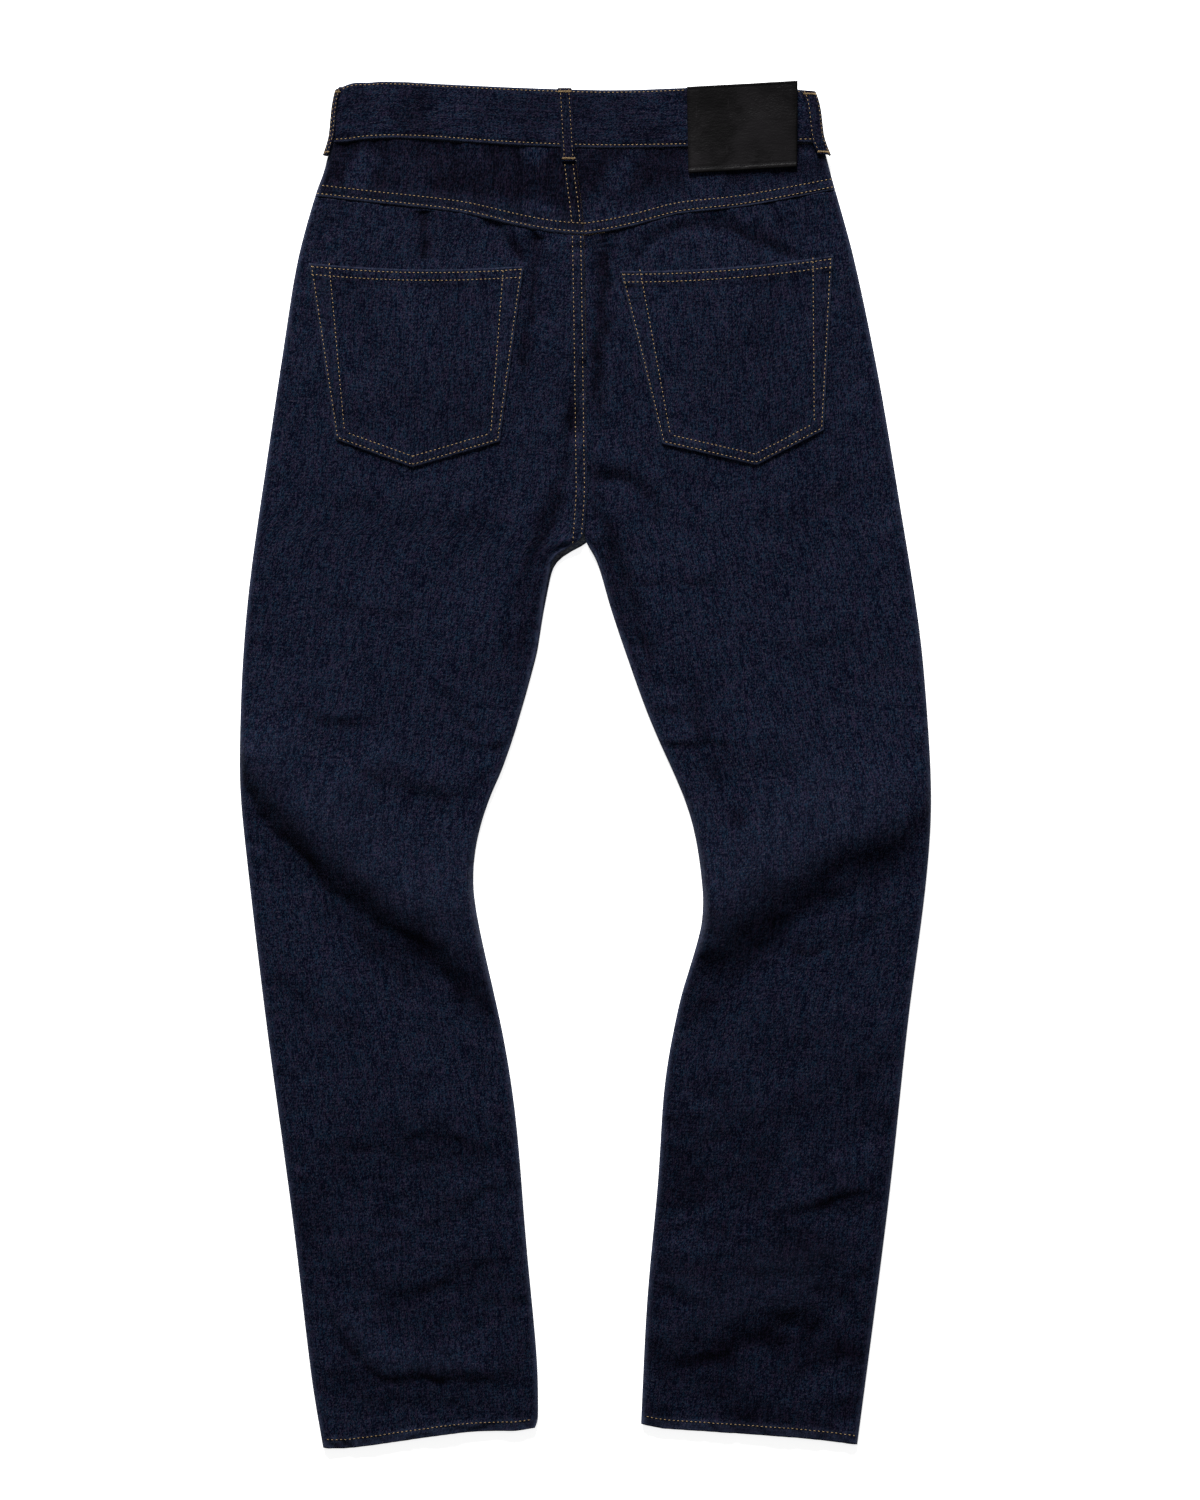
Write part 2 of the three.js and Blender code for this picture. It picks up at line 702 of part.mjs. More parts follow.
/** The pocket facing that shows in a front pocket's mouth, and carries on to the side seam. */
function pocketFacing(side) {
  const top = (across) => BAND_SEAM(across) + dip(across) + BAND_GAP;
  const { waist, sideDown } = POCKET_MOUTH[side];
  const sign = side === "left" ? -1 : 1;
  const outerTop = BAND_SEAM(YOKE_CORNERS[side]) + BAND_GAP;
  const bottom = sideDown - 3; // just short of where the front's side seam begins
  const rows = 6;
  const grid = Array.from({ length: rows + 1 }, (_, r) => {
    const down = lerp(outerTop, bottom, r / rows);
    const innerDown = lerp(top(waist), bottom, r / rows);
    const inner = mouthEdge(side, innerDown, top(waist)) - sign * FACING_OVERLAP;
    const { low, high, lowName } = inOrder(
      side,
      { across: OUTER[side](down), down },
      { across: inner, down: innerDown },
    );
    const fading = (1 - r / rows) ** 2;
    const topLine = lowName === "outer" ? [outerTop, top(waist)] : [top(waist), outerTop];
    return panelRow({
      low,
      high,
      folded: { low: lowName === "outer", high: lowName === "inner" },
      surface: (across, at) => frontSurface(across, at) + DENIM + GAP,
      seamSide: -1,
      flatColumns: 4,
      bow: (across, share) => fading * (top(across) - lerp(...topLine, share)),
    });
  });
  return wall(turnedOver(grid), DENIM * 0.85);
}

// ---- the waistband and what is on it

const BAND_ENDS = { outer: 24, inner: -30, climbFrom: 66, climbTo: 31 };
const BAND_FOLD = {
  left: curve("down", "across", [
    { down: -8, across: -190.5 },
    { down: 0, across: -193.8 },
    { down: 9, across: -195.9 },
    { down: 28, across: -197.8 },
    { down: 54, across: -199.6 },
  ]),
  right: curve("down", "across", [
    { down: -8, across: 173.5 },
    { down: 0, across: 177.4 },
    { down: 9, across: 180.8 },
    { down: 28, across: 183.2 },
    { down: 54, across: 185.6 },
  ]),
};
const BAND_ROUND = (BAND_HEIGHT - BAND_BASE) / 2; // radius of its side folds
const BAND_MIDDLE = BAND_BASE + BAND_ROUND;

/** A place on the round of a side fold, at an angle up from level. */
function foldPlace(side, angle) {
  return {
    side,
    out: BAND_ROUND * Math.cos(angle),
    height: BAND_MIDDLE + BAND_ROUND * Math.sin(angle),
    layer: "fold",
  };
}

/**
 * The waistband's outer line, seen from its end: from its buttoned end on the surface, round
 * the left side, across the back, round the right side and in under the other end. Each knot
 * has its share of the way across between the side folds, or the fold that it rounds.
 */
function bandPath() {
  const flat = (from, to, count, height, layer) =>
    Array.from({ length: count }, (_, i) => ({ share: lerp(from, to, i / (count - 1)), height, layer }));
  const fold = (side, start, end) =>
    [0.2, 0.4, 0.6, 0.8].map((t) => {
      return foldPlace(side, lerp(start, end, t));
    });
  const shareOf = (across) => (across + 195) / 378;
  const under = BAND_BASE + BAND + GAP;
  return [
    ...flat(shareOf(BAND_ENDS.outer), 0, 12, BAND_BASE, "front"),
    ...fold("left", -Math.PI / 2, Math.PI / 2),
    ...flat(0, 1, 17, BAND_HEIGHT, "back"),
    ...fold("right", Math.PI / 2, -Math.PI / 2),
    ...flat(1, shareOf(BAND_ENDS.climbFrom), 6, BAND_BASE, "front"),
    ...flat(shareOf(BAND_ENDS.climbTo), shareOf(BAND_ENDS.inner), 5, under, "front"),
  ];
}

/** A point of the waistband's outer face, or of the same shape pushed out by a clearance. */
function bandKnot(place, share, clearance = 0) {
  if (place.layer === "fold") {
    const edge = place.side === "left" ? -1 : 1;
    const front = (BAND_HEIGHT - place.height) / (BAND_HEIGHT - BAND_BASE);
    const nominal = edge < 0 ? -197 : 183;
    const down = lerp(BAND_TOP(nominal), BAND_SEAM(nominal), share) + front * dip(nominal);
    const reach = (BAND_ROUND + clearance) / BAND_ROUND;
    const line = clearance > 0 ? loopEdge(place.side, down) : BAND_FOLD[place.side](down);
    const across = line + edge * (place.out * reach - BAND_ROUND);
    return knot(across, down, BAND_MIDDLE + (place.height - BAND_MIDDLE) * reach);
  }
  const nominal = lerp(-195, 183, place.share);
  const lower = place.layer === "front" ? dip(nominal) : 0;
  const down = lerp(BAND_TOP(nominal), BAND_SEAM(nominal), share) + lower;
  const across = lerp(BAND_FOLD.left(down) + BAND_ROUND, BAND_FOLD.right(down) - BAND_ROUND, place.share);
  const out = place.layer === "front" ? -clearance : clearance;
  return knot(across, down, place.height + lift(across, down) + out);
}

/** The line that a side loop is wrapped round: the band's fold, then just outside the side seam. */
function loopEdge(side, down) {
  const below = smoothstep(down, 33, 50);
  const fold = BAND_FOLD[side](down);
  const seam = OUTER[side](down) + (side === "left" ? -LOOP_CLEAR : LOOP_CLEAR);
  const edge = lerp(fold, seam, below);
  return side === "left" ? Math.min(fold, edge) : Math.max(fold, edge);
}

function waistband() {
  const rows = 3;
  const path = bandPath();
  const grid = Array.from({ length: rows + 1 }, (_, r) => path.map((place) => bandKnot(place, r / rows)));
  return wall(grid, BAND);
}

/** A belt loop on the back of the waistband, reaching down onto the yokes. */
function backLoop() {
  const { top, bottom } = BACK_LOOP;
  const rows = 9;
  const grid = Array.from({ length: rows + 1 }, (_, r) => {
    const middle = lerp(top.across, bottom.across, r / rows);
    const down = lerp(top.down, bottom.down, r / rows);
    return [-0.5, 0, 0.5].map((side) => {
      const across = middle + side * LOOP_WIDTH;
      return knot(across, down, coverSurface(middle, down) + SEWN_ON + LOOP);
    });
  });
  return wall(grid, LOOP);
}

/** A belt loop that wraps one of the waistband's side folds. */
function sideLoop(side) {
  const { from, to, inboard } = SIDE_LOOPS[side];
  const steps = 6;
  const places = Array.from({ length: steps + 1 }, (_, i) => foldPlace(side, lerp(from, to, i / steps)));
  const rows = 7;
  const reach = 1 + LOOP_BELOW_BAND / (BAND_SEAM(0) - BAND_TOP(0));
  const grid = Array.from({ length: rows + 1 }, (_, r) => {
    const share = lerp(0.01, reach, r / rows);
    const knots = places.map((place) => bandKnot(place, share, GAP + LOOP));
    if (inboard > 0) knots.push(...inboardKnots(knots.at(-1), inboard));
    return side === "left" ? knots : knots.reverse();
  });
  return wall(grid, LOOP);
}

/** Carries a side loop on from the fold onto the flat back of the waistband. */
function inboardKnots(last, inboard) {
  const { x, y, z } = last.at;
  const towards = x < 0 ? 1 : -1;
  return [0.5, 1].map((t) => knot(x + towards * inboard * t, -y, z));
}

/** A belt loop on the front of the waistband, flat on the surface. */
function frontLoop(across) {
  const top = BAND_TOP(across) + dip(across) + 1;
  const bottom = BAND_SEAM(across) + dip(across) + LOOP_BELOW_BAND;
  const shape = new THREE.Shape();
  shape.moveTo(across - LOOP_WIDTH / 2, -bottom);
  shape.lineTo(across + LOOP_WIDTH / 2, -bottom);
  shape.lineTo(across + LOOP_WIDTH / 2, -top);
  shape.lineTo(across - LOOP_WIDTH / 2, -top);
  return new THREE.ExtrudeGeometry(shape, { depth: LOOP, bevelEnabled: false });
}

/** The leather patch, sewn over the waistband and the right yoke. */
function patch() {
  const rows = 6;
  const cols = 7;
  const grid = Array.from({ length: rows + 1 }, (_, r) =>
    Array.from({ length: cols + 1 }, (_, c) => {
      const top = between(...PATCH.top, c / cols);
      const [across, down] = between(top, between(...PATCH.bottom, c / cols), r / rows);
      return knot(across, down, coverSurface(across, down) + SEWN_ON + LEATHER);
    }),
  );
  return wall(grid, LEATHER);
}

/** The point a share of the way from one [across, down] point to another. */
function between(from, to, share) {
  return [lerp(from[0], to[0], share), lerp(from[1], to[1], share)];
}

/** A back pocket: a straight-sided shield with a pointed foot, whose mouth sags a little. */
function backPocket(side) {
  const { mouth, foot, sag } = BACK_POCKETS[side];
  const rows = 9;
  const cols = 10;
  const footAt = (share) =>
    share < 0.5 ? between(foot[0], foot[1], share * 2) : between(foot[1], foot[2], share * 2 - 1);
  const grid = Array.from({ length: rows + 1 }, (_, r) =>
    Array.from({ length: cols + 1 }, (_, c) => {
      const share = c / cols;
      const [mouthAcross, mouthDown] = between(...mouth, share);
      const top = [mouthAcross, mouthDown + sag * Math.sin(Math.PI * share)];
      const [across, down] = between(top, footAt(share), r / rows);
      return knot(across, down, backSurface(across, down) + SEWN_ON + DENIM);
    }),
  );
  return wall(grid, DENIM);
}

/** The waist button's domed head, which lies on the surface under the waistband. */
function waistButton() {
  const { radius, thickness } = BUTTON;
  const profile = [
    [0, 0],
    [radius - 1.2, 0],
    [radius, 0.8],
    [radius, 1.7],
    [radius - 1.5, 2.3],
    [3.5, 2.3],
    [3.5, thickness],
    [0, thickness],
  ].map(([x, y]) => new THREE.Vector2(x, y));
  const geometry = new THREE.LatheGeometry(profile, 28);
  return geometry.rotateX(Math.PI / 2).translate(BUTTON.across, -BUTTON.down, 0);
}

/** The closed zip inside the fly: its tape, with the row of teeth standing on it. */
function flyZip() {
  const { across, top, length, tape, teeth, tapeHeight, height } = FLY_ZIP;
  const section = [
    { side: -tape / 2, thick: tapeHeight },
    { side: -teeth / 2 - 0.3, thick: tapeHeight },
    { side: -teeth / 2, thick: height },
    { side: teeth / 2, thick: height },
    { side: teeth / 2 + 0.3, thick: tapeHeight },
    { side: tape / 2, thick: tapeHeight },
  ];
  const rows = 8;
  const grid = Array.from({ length: rows + 1 }, (_, r) => {
    const down = top + (length * r) / rows;
    const under = frontSurface(across, down) + DENIM + 2 * GAP;
    return section.map(({ side, thick }) => knot(across + side, down, under + thick, { plumb: true }));
  });
  return wall(grid, (r, c) => section[c].thick);
}

// ---------------------------------------------------------------- the garment

const garment = new THREE.Group();
garment.name = "jeans";

function add(name, geometry, finish = denim) {
  const mesh = new THREE.Mesh(geometry, finish);
  mesh.name = name;
  garment.add(mesh);
}

for (const side of ["left", "right"]) {
  add(`back_leg_${side}`, backLeg(side));
  add(`yoke_${side}`, yoke(side));
  add(`front_leg_${side}`, frontLeg(side));
  add(`pocket_facing_${side}`, pocketFacing(side));
  add(`back_pocket_${side}`, backPocket(side));
  add(`belt_loop_side_${side}`, sideLoop(side));
}
add("waistband", waistband());
add("belt_loop_back", backLoop());
for (const { name, across } of FRONT_LOOPS) add(name, frontLoop(across));
add("patch", patch(), leather);
add("waist_button", waistButton(), metal);
add("fly_zip", flyZip(), metal);

// The origin is the middle of the garment's outline, on the surface that it lies on.
const box = new THREE.Box3().setFromObject(garment);
const centre = box.getCenter(new THREE.Vector3());
garment.position.set(-centre.x, -centre.y, -box.min.z);

export default garment;
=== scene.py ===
"""Slim fit jeans of dark indigo denim, laid face down: the cloth, seams, threads and stage."""

import math

import bmesh
import bpy
import numpy as np
from bpy.props import FloatProperty, FloatVectorProperty, PointerProperty
from bpy.types import Operator, Panel, PropertyGroup
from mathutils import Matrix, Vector, noise
from mathutils.bvhtree import BVHTree


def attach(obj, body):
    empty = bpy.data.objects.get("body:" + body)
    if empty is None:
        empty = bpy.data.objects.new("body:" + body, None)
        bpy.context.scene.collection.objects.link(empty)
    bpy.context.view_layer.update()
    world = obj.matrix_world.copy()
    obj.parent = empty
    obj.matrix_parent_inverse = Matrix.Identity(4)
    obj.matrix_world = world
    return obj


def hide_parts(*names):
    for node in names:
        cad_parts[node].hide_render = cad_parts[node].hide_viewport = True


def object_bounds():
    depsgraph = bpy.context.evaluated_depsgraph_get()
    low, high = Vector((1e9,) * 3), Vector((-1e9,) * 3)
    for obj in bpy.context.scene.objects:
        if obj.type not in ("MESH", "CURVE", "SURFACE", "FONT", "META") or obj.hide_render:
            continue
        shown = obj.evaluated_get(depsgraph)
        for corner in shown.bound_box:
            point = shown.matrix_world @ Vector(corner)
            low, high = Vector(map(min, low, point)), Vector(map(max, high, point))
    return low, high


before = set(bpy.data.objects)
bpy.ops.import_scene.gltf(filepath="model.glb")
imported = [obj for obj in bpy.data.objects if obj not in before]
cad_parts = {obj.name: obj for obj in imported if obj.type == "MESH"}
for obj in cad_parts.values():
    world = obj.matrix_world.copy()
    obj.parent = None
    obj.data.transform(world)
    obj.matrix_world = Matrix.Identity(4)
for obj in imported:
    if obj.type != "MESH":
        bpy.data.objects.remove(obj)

bl_info = {
    "name": "Slim fit jeans",
    "version": (1, 0, 0),
    "blender": (4, 5, 0),
    "location": "3D View > Sidebar > Jeans",
    "description": "Makes the cloth, seams, threads and fittings of a pair of jeans laid flat",
    "category": "Add Mesh",
}

CAD_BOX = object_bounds()
MM = 0.001  # everything is drawn in millimetres and made in metres
SIDES = ("left", "right")
SEEN_FROM = 60.0  # where rays start, well above or below the jeans

# ---------------------------------------------------------------- numbers and curves


def smooth(value, low, high):
    """0 below low, 1 above high, and an even slope between them."""
    t = np.clip((np.asarray(value, float) - low) / (high - low), 0, 1)
    return t * t * (3 - 2 * t)


def bell(value, width):
    """1 where the value is 0, and less the further it is from it either way."""
    return np.exp(-((np.asarray(value, float) / width) ** 2))


def rounded(share):
    """How far a folded edge has climbed at a share of its radius in from the edge."""
    t = np.clip(share, 0, 1)
    return np.sqrt(np.maximum(0, 1 - (1 - t) ** 2))


def kernel(reach, spread):
    """The weights of a smoothing over some cells each way."""
    weights = bell(np.arange(-reach, reach + 1), spread * 1.41)
    return weights / weights.sum()


def eased(values, spread):
    """A row of numbers with its small corners smoothed and its two ends kept."""
    values = np.asarray(values, float)
    chord = np.linspace(0, 1, len(values))[:, None] * (values[-1] - values[0]) + values[0]
    off = values - chord
    reach = min(int(spread * 3) + 1, len(values) - 1)
    off = np.concatenate([-off[reach:0:-1], off, -off[-2 : -reach - 2 : -1]])
    smoothed = [np.convolve(column, kernel(reach, spread), "valid") for column in off.T]
    return chord + np.stack(smoothed, 1)


def blurred(field, spread):
    """A grid of heights, blurred over that many cells each way."""
    reach = int(spread * 2.5) + 1
    weights = kernel(reach, spread)
    for axis in (0, 1):
        wide = np.pad(field, [(reach, reach) if k == axis else (0, 0) for k in (0, 1)], "edge")
        field = np.apply_along_axis(lambda line: np.convolve(line, weights, "valid"), axis, wide)
    return field


def through(points, count):
    """A smooth curve of that many points through a few, in two or three dimensions."""
    points = np.asarray(points, float)
    padded = np.concatenate([[2 * points[0] - points[1]], points, [2 * points[-1] - points[-2]]])
    at = np.linspace(0, len(points) - 1 - 1e-9, count)
    i = at.astype(int)
    t = (at - i)[:, None]
    a, b, c, d = (padded[i + k] for k in range(4))
    return 0.5 * (2 * b + (c - a) * t + (2 * a - 5 * b + 4 * c - d) * t**2 + (3 * b - a - 3 * c + d) * t**3)


def plan_length(line):
    """How long a line is in the plan."""
    return np.linalg.norm(np.diff(line[:, :2], axis=0), axis=1).sum()


def unit_steps(line):
    """The direction of a line in the plan at each of its points."""
    along = np.gradient(line, axis=0)
    return along / np.linalg.norm(along, axis=1)[:, None]


def evenly(points, step):
    """Points a step apart along a line."""
    points = np.asarray(points, float)
    along = np.concatenate([[0], np.cumsum(np.linalg.norm(np.diff(points, axis=0), axis=1))])
    count = max(2, round(along[-1] / step) + 1)
    at = np.linspace(0, along[-1], count)
    return np.stack([np.interp(at, along, column) for column in points.T], 1)


def beside(line, inset):
    """A line that runs beside another in the plan, to its left by an inset for each point."""
    line = np.asarray(line, float)[:, :2]
    along = unit_steps(line)
    return line + np.stack([-along[:, 1], along[:, 0]], 1) * np.reshape(inset, (-1, 1))


def mottle(x, y, wide, long, seed):
    """Smooth seeded unevenness, about -0.5 to 0.5, with spots of that width and length."""
    flat = zip(np.ravel(x) / wide, np.ravel(y) / long)
    return np.array([noise.noise((a, b, seed)) for a, b in flat]).reshape(np.shape(x))


def steps_between(length, step, fine=()):
    """Places from 0 to a length, a step apart, with the fine ones at both ends."""
    fine = [f for f in fine if f < length / 3]
    first = fine[-1] if fine else 0
    count = max(2, round((length - 2 * first) / step))
    middle = np.linspace(first, length - first, count + 1)
    return np.concatenate([fine[:-1], middle, [length - f for f in fine[:-1]][::-1]])


# ---------------------------------------------------------------- what the model gives


def node_mesh(name):
    """A node's points in millimetres, and its faces."""
    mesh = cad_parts[name].data
    points = np.empty(len(mesh.vertices) * 3)
    mesh.vertices.foreach_get("co", points)
    return points.reshape(-1, 3) / MM, [tuple(face.vertices) for face in mesh.polygons]


def joined_tree(meshes):
    """One tree for rays over several meshes, each given as its points and faces."""
    points, faces = [], []
    for more, its_faces in meshes:
        faces += [tuple(i + len(points) for i in face) for face in its_faces]
        points += [tuple(point) for point in more]
    return BVHTree.FromPolygons(points, faces)


def node_tree(*names):
    """Some nodes of the model, for laying cloth on them."""
    return joined_tree(node_mesh(name) for name in names)


def piece_tree(*nodes):
    """The pieces made so far in some nodes' place, for laying others on them."""
    meshes = [PIECES[node].data for node in nodes]
    return joined_tree(
        ([v.co / MM for v in mesh.vertices], [face.vertices for face in mesh.polygons]) for mesh in meshes
    )


def skin_height(tree, x, y, face=1, start=SEEN_FROM):
    """Height of the upper skin at each place, or of the lower one where face is -1."""
    heights = np.full(np.shape(x), np.nan)
    down = Vector((0, 0, -face))
    for i in np.ndindex(np.shape(x)):
        hit = tree.ray_cast(Vector((x[i], y[i], start * face)), down)[0]
        if hit is not None:
            heights[i] = hit.z
    return heights


def filled(heights):
    """Places that missed take the height of the nearest one in their row, then in their column."""
    heights = heights.copy()
    for field in (heights, heights.T):
        for row in field:
            good = ~np.isnan(row)
            if good.any() and not good.all():
                at = np.arange(len(row))
                row[~good] = np.interp(at[~good], at[good], row[good])
    return heights


class Outline:
    """A node's plan as four edges between four corners, each by its share from 0 to 1."""

    SAMPLES = 420

    def __init__(self, node, foot=(0.5, 1.0)):
        points, faces = node_mesh(node)
        self.points = points
        pairs = np.array([(f[i], f[i - 1]) for f in faces for i in range(len(f))])
        self.a, self.b = points[pairs[:, 0]], points[pairs[:, 1]]
        x, y = points[:, 0], points[:, 1]
        wide, deep = foot
        self.corners = {
            "top_left": points[(y - x / 2).argmax()],
            "top_right": points[(y + x / 2).argmax()],
            "foot_left": points[(-deep * y - wide * x).argmax()],
            "foot_right": points[(-deep * y + wide * x).argmax()],
        }
        c = self.corners
        self.left = self.edge(c["top_left"], c["foot_left"], 1, -1)
        self.right = self.edge(c["top_right"], c["foot_right"], 1, 1)
        self.top = self.edge(c["top_left"], c["top_right"], 0, 1)
        self.foot = self.edge(c["foot_left"], c["foot_right"], 0, -1)
        self.width = plan_length(self.top)
        self.length = plan_length(self.left)

    def edge(self, start, end, axis, way):
        """The furthest points one way, where the node is cut at places along an axis."""
        found = [start]
        for at in np.linspace(start[axis], end[axis], self.SAMPLES)[1:-1]:
            before, after = self.a[:, axis] - at, self.b[:, axis] - at
            cut = (before * after <= 0) & (np.abs(before - after) > 1e-9)
            t = (before[cut] / (before[cut] - after[cut]))[:, None]
            places = self.a[cut] + t * (self.b[cut] - self.a[cut])
            found.append(places[(way * places[:, 1 - axis]).argmax()])
        found = np.array([*found, end])
        found[:, axis] = np.linspace(start[axis], end[axis], self.SAMPLES)
        return found

    def along(self, edge, share):
        """The places on an edge at shares of its way."""
        line = getattr(self, edge)
        at = np.linspace(0, 1, len(line))
        return np.stack([np.interp(share, at, column) for column in line.T], -1)

    def place(self, u, v):
        """The place in the plan at shares of the way across and down."""
        u, v = np.broadcast_arrays(np.asarray(u, float), np.asarray(v, float))
        u1, v1 = u[..., None], v[..., None]
        c = {name: point[:2] for name, point in self.corners.items()}
        sides = (1 - u1) * self.along("left", v)[..., :2] + u1 * self.along("right", v)[..., :2]
        ends = (1 - v1) * self.along("top", u)[..., :2] + v1 * self.along("foot", u)[..., :2]
        mean = (1 - v1) * ((1 - u1) * c["top_left"] + u1 * c["top_right"])
        mean = mean + v1 * ((1 - u1) * c["foot_left"] + u1 * c["foot_right"])
        return sides + ends - mean

    def smooth_edges(self, **spreads):
        for edge, spread in spreads.items():
            setattr(self, edge, eased(getattr(self, edge), spread))
        return self


# ---------------------------------------------------------------- grids of cloth


class Cloth:
    """A grid of points over a node's plan, as one layer of cloth."""

    FINE = (0, 0.3, 0.7, 1.2, 1.9, 2.8, 3.9, 5.2, 6.6, 8, 9.4, 10.8, 12.4)  # rows close to an edge
    BY_THE_FOLD = 8.0  # how far in from a folded edge its wrong side stays inside the layer
    LEAST_WALL = 0.25
    ENDS = 1.0  # how far in from its top and foot the heights are read

    def __init__(self, outline, step, fine_rows=FINE):
        self.outline = outline
        downs = steps_between(outline.length, step[1], fine_rows) / outline.length
        left, right = outline.along("left", downs), outline.along("right", downs)
        widths = np.linalg.norm((right - left)[:, :2], axis=1)
        fine = [f for f in self.FINE if f < widths.min() / 3]
        middle = max(2, round((widths.mean() - 2 * fine[-1]) / step[0]))
        rows = []
        for width in widths:
            near = np.array(fine[:-1]) / width
            flat = np.linspace(fine[-1] / width, 1 - fine[-1] / width, middle + 1)
            rows.append(np.concatenate([near, flat, 1 - near[::-1]]))
        self.u = np.array(rows)
        self.v = np.repeat(downs[:, None], self.u.shape[1], 1)
        xy = outline.place(self.u, self.v)
        self.x, self.y = xy[..., 0], xy[..., 1]
        self.widths = widths[:, None]
        self.from_left = self.u * self.widths
        self.from_right = (1 - self.u) * self.widths
        self.from_top = self.v * outline.length
        self.from_foot = (1 - self.v) * outline.length
        self.seam_left = outline.along("left", self.v)[..., 2]
        self.seam_right = outline.along("right", self.v)[..., 2]
        self.z = np.zeros_like(self.x)

    def lie_on(self, tree, face=1, margin=4.2, cell=4.0, spread=2.0, clearance=0.0):
        """Takes the smoothed height of what is there, just inside the edges."""
        count = (max(4, int(self.outline.length / cell)), max(4, int(self.outline.width / cell)))
        v, u = np.meshgrid(np.linspace(0, 1, count[0]), np.linspace(0, 1, count[1]), indexing="ij")
        inside = margin / np.interp(v[:, :1], self.v[:, 0], self.widths[:, 0])
        short = self.ENDS / self.outline.length
        xy = self.outline.place(inside + u * (1 - 2 * inside), short + v * (1 - 2 * short))
        coarse = blurred(filled(skin_height(tree, xy[..., 0], xy[..., 1], face)), spread)
        inside = margin / self.widths
        share = np.clip((self.u - inside) / (1 - 2 * inside), 0, 1)
        self.z = sampled(coarse, self.v, share) + clearance

    def fold_edge(self, side, radius=(2.6, 6.5)):
        """Turns a side edge over, down to its seam."""
        inset = getattr(self, f"from_{side}")
        seam = getattr(self, f"seam_{side}")
        height = np.abs(self.z - seam)
        round_over = np.clip(height * 0.9, *radius)
        self.z = seam + (self.z - seam) * rounded(inset / round_over)

    def lap_edge(self, side, drop, radius):
        """Rounds the edge of a turned-in or lapped seam."""
        inset = getattr(self, f"from_{side}")
        self.z = self.z - drop * (1 - rounded(inset / radius))

    def shell(self, thickness, face=1, folded=()):
        """The outer and inner points of the cloth."""
        outer = np.stack([self.x, self.y, self.z], -1)
        down = np.gradient(outer, axis=0)
        across = np.gradient(outer, axis=1)
        normal = np.cross(down, across) * face
        normal /= np.linalg.norm(normal, axis=-1, keepdims=True)
        inner = outer - normal * np.broadcast_to(thickness, self.z.shape)[..., None]
        for side, column in (("left", 0), ("right", -1)):
            if side not in folded:
                continue
            seam = getattr(self, f"seam_{side}")
            near = getattr(self, f"from_{side}") < self.BY_THE_FOLD
            inside = np.maximum(face * inner[..., 2], face * seam)
            inside = np.minimum(inside, face * outer[..., 2] - self.LEAST_WALL)
            inner[..., 2] = np.where(near, face * inside, inner[..., 2])
            inner[:, column] = outer[:, column]
            inner[:, column, 0] += 1.0 if side == "left" else -1.0
        return outer, inner

    def cloth_places(self):
        """Where each point is on the flat cloth, in metres across and down."""
        across = (self.u - 0.5) * self.widths
        return np.stack([across, self.from_top], -1) * MM

    def lap_all_round(self, drop, radius):
        """Rounds all four edges."""
        for edge in ("left", "right", "top", "foot"):
            self.lap_edge(edge, drop, radius)

    def hem(self):
        """1 in the turned-in hem, and 0 above it."""
        return 1 - smooth(self.from_foot, HEM_DEPTH - 0.8, HEM_DEPTH + 0.8)

    def mottle(self, wide, long, seed):
        return mottle(self.x, self.y, wide, long, seed)

    def from_sides(self, side):
        """The names of a left or right panel's outer and inner edges, and how far in they are."""
        outer, inner = outer_side(side)
        return outer, inner, getattr(self, f"from_{outer}"), getattr(self, f"from_{inner}")


def sampled(field, v, u):
    """A grid of heights read between its points, at shares down and across."""
    r = np.clip(v * (field.shape[0] - 1), 0, field.shape[0] - 1 - 1e-9)
    c = np.clip(u * (field.shape[1] - 1), 0, field.shape[1] - 1 - 1e-9)
    i, j = r.astype(int), c.astype(int)
    r, c = r - i, c - j
    top = field[i, j] * (1 - c) + field[i, j + 1] * c
    foot = field[i + 1, j] * (1 - c) + field[i + 1, j + 1] * c
    return top * (1 - r) + foot * r


NO_SEAM = -50.0  # lower than any seam


def outer_side(side):
    """The edges of a left or right panel that lie at the side seam and at the middle."""
    return ("left", "right") if side == "left" else ("right", "left")


def grid_faces(rows, columns, start=0, turned=False):
    """The four-sided faces of a grid whose points are numbered from start, row by row."""
    at = np.arange(rows * columns).reshape(rows, columns) + start
    quads = np.stack([at[:-1, :-1], at[1:, :-1], at[1:, 1:], at[:-1, 1:]], -1).reshape(-1, 4)
    return quads[:, ::-1] if turned else quads


def make_piece(name, points, faces, places, materials, worn=None, wrong_side=0, dyed=None):
    """A mesh piece from points in millimetres. The last wrong_side faces take the second material."""
    mesh = bpy.data.meshes.new(name)
    mesh.from_pydata((np.asarray(points) * MM).tolist(), [], [tuple(f) for f in faces])
    layer = mesh.uv_layers.new(name="Cloth")
    corner_points = np.empty(len(mesh.loops), int)
    mesh.loops.foreach_get("vertex_index", corner_points)
    layer.uv.foreach_set("vector", np.asarray(places, np.float32)[corner_points].ravel())
    # Two attributes per point: how much paler the cloth is, from abrasion and partly a painted highlight on
    # rolled edges, and how much darker, from darker dye at random and painted shade in creases and hollows.
    for label, values in (("worn", worn), ("dyed", dyed)):
        layer = mesh.attributes.new(label, "FLOAT", "POINT")
        layer.data.foreach_set("value", np.zeros(len(points)) if values is None else np.ravel(values))
    for material in materials:
        mesh.materials.append(material)
    if wrong_side:
        slots = np.zeros(len(mesh.polygons), int)
        slots[-wrong_side:] = 1
        mesh.polygons.foreach_set("material_index", slots)
    mesh.shade_smooth()
    mesh.update()
    piece = bpy.data.objects.new(name, mesh)
    bpy.context.collection.objects.link(piece)
    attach(piece, "root")
    return piece


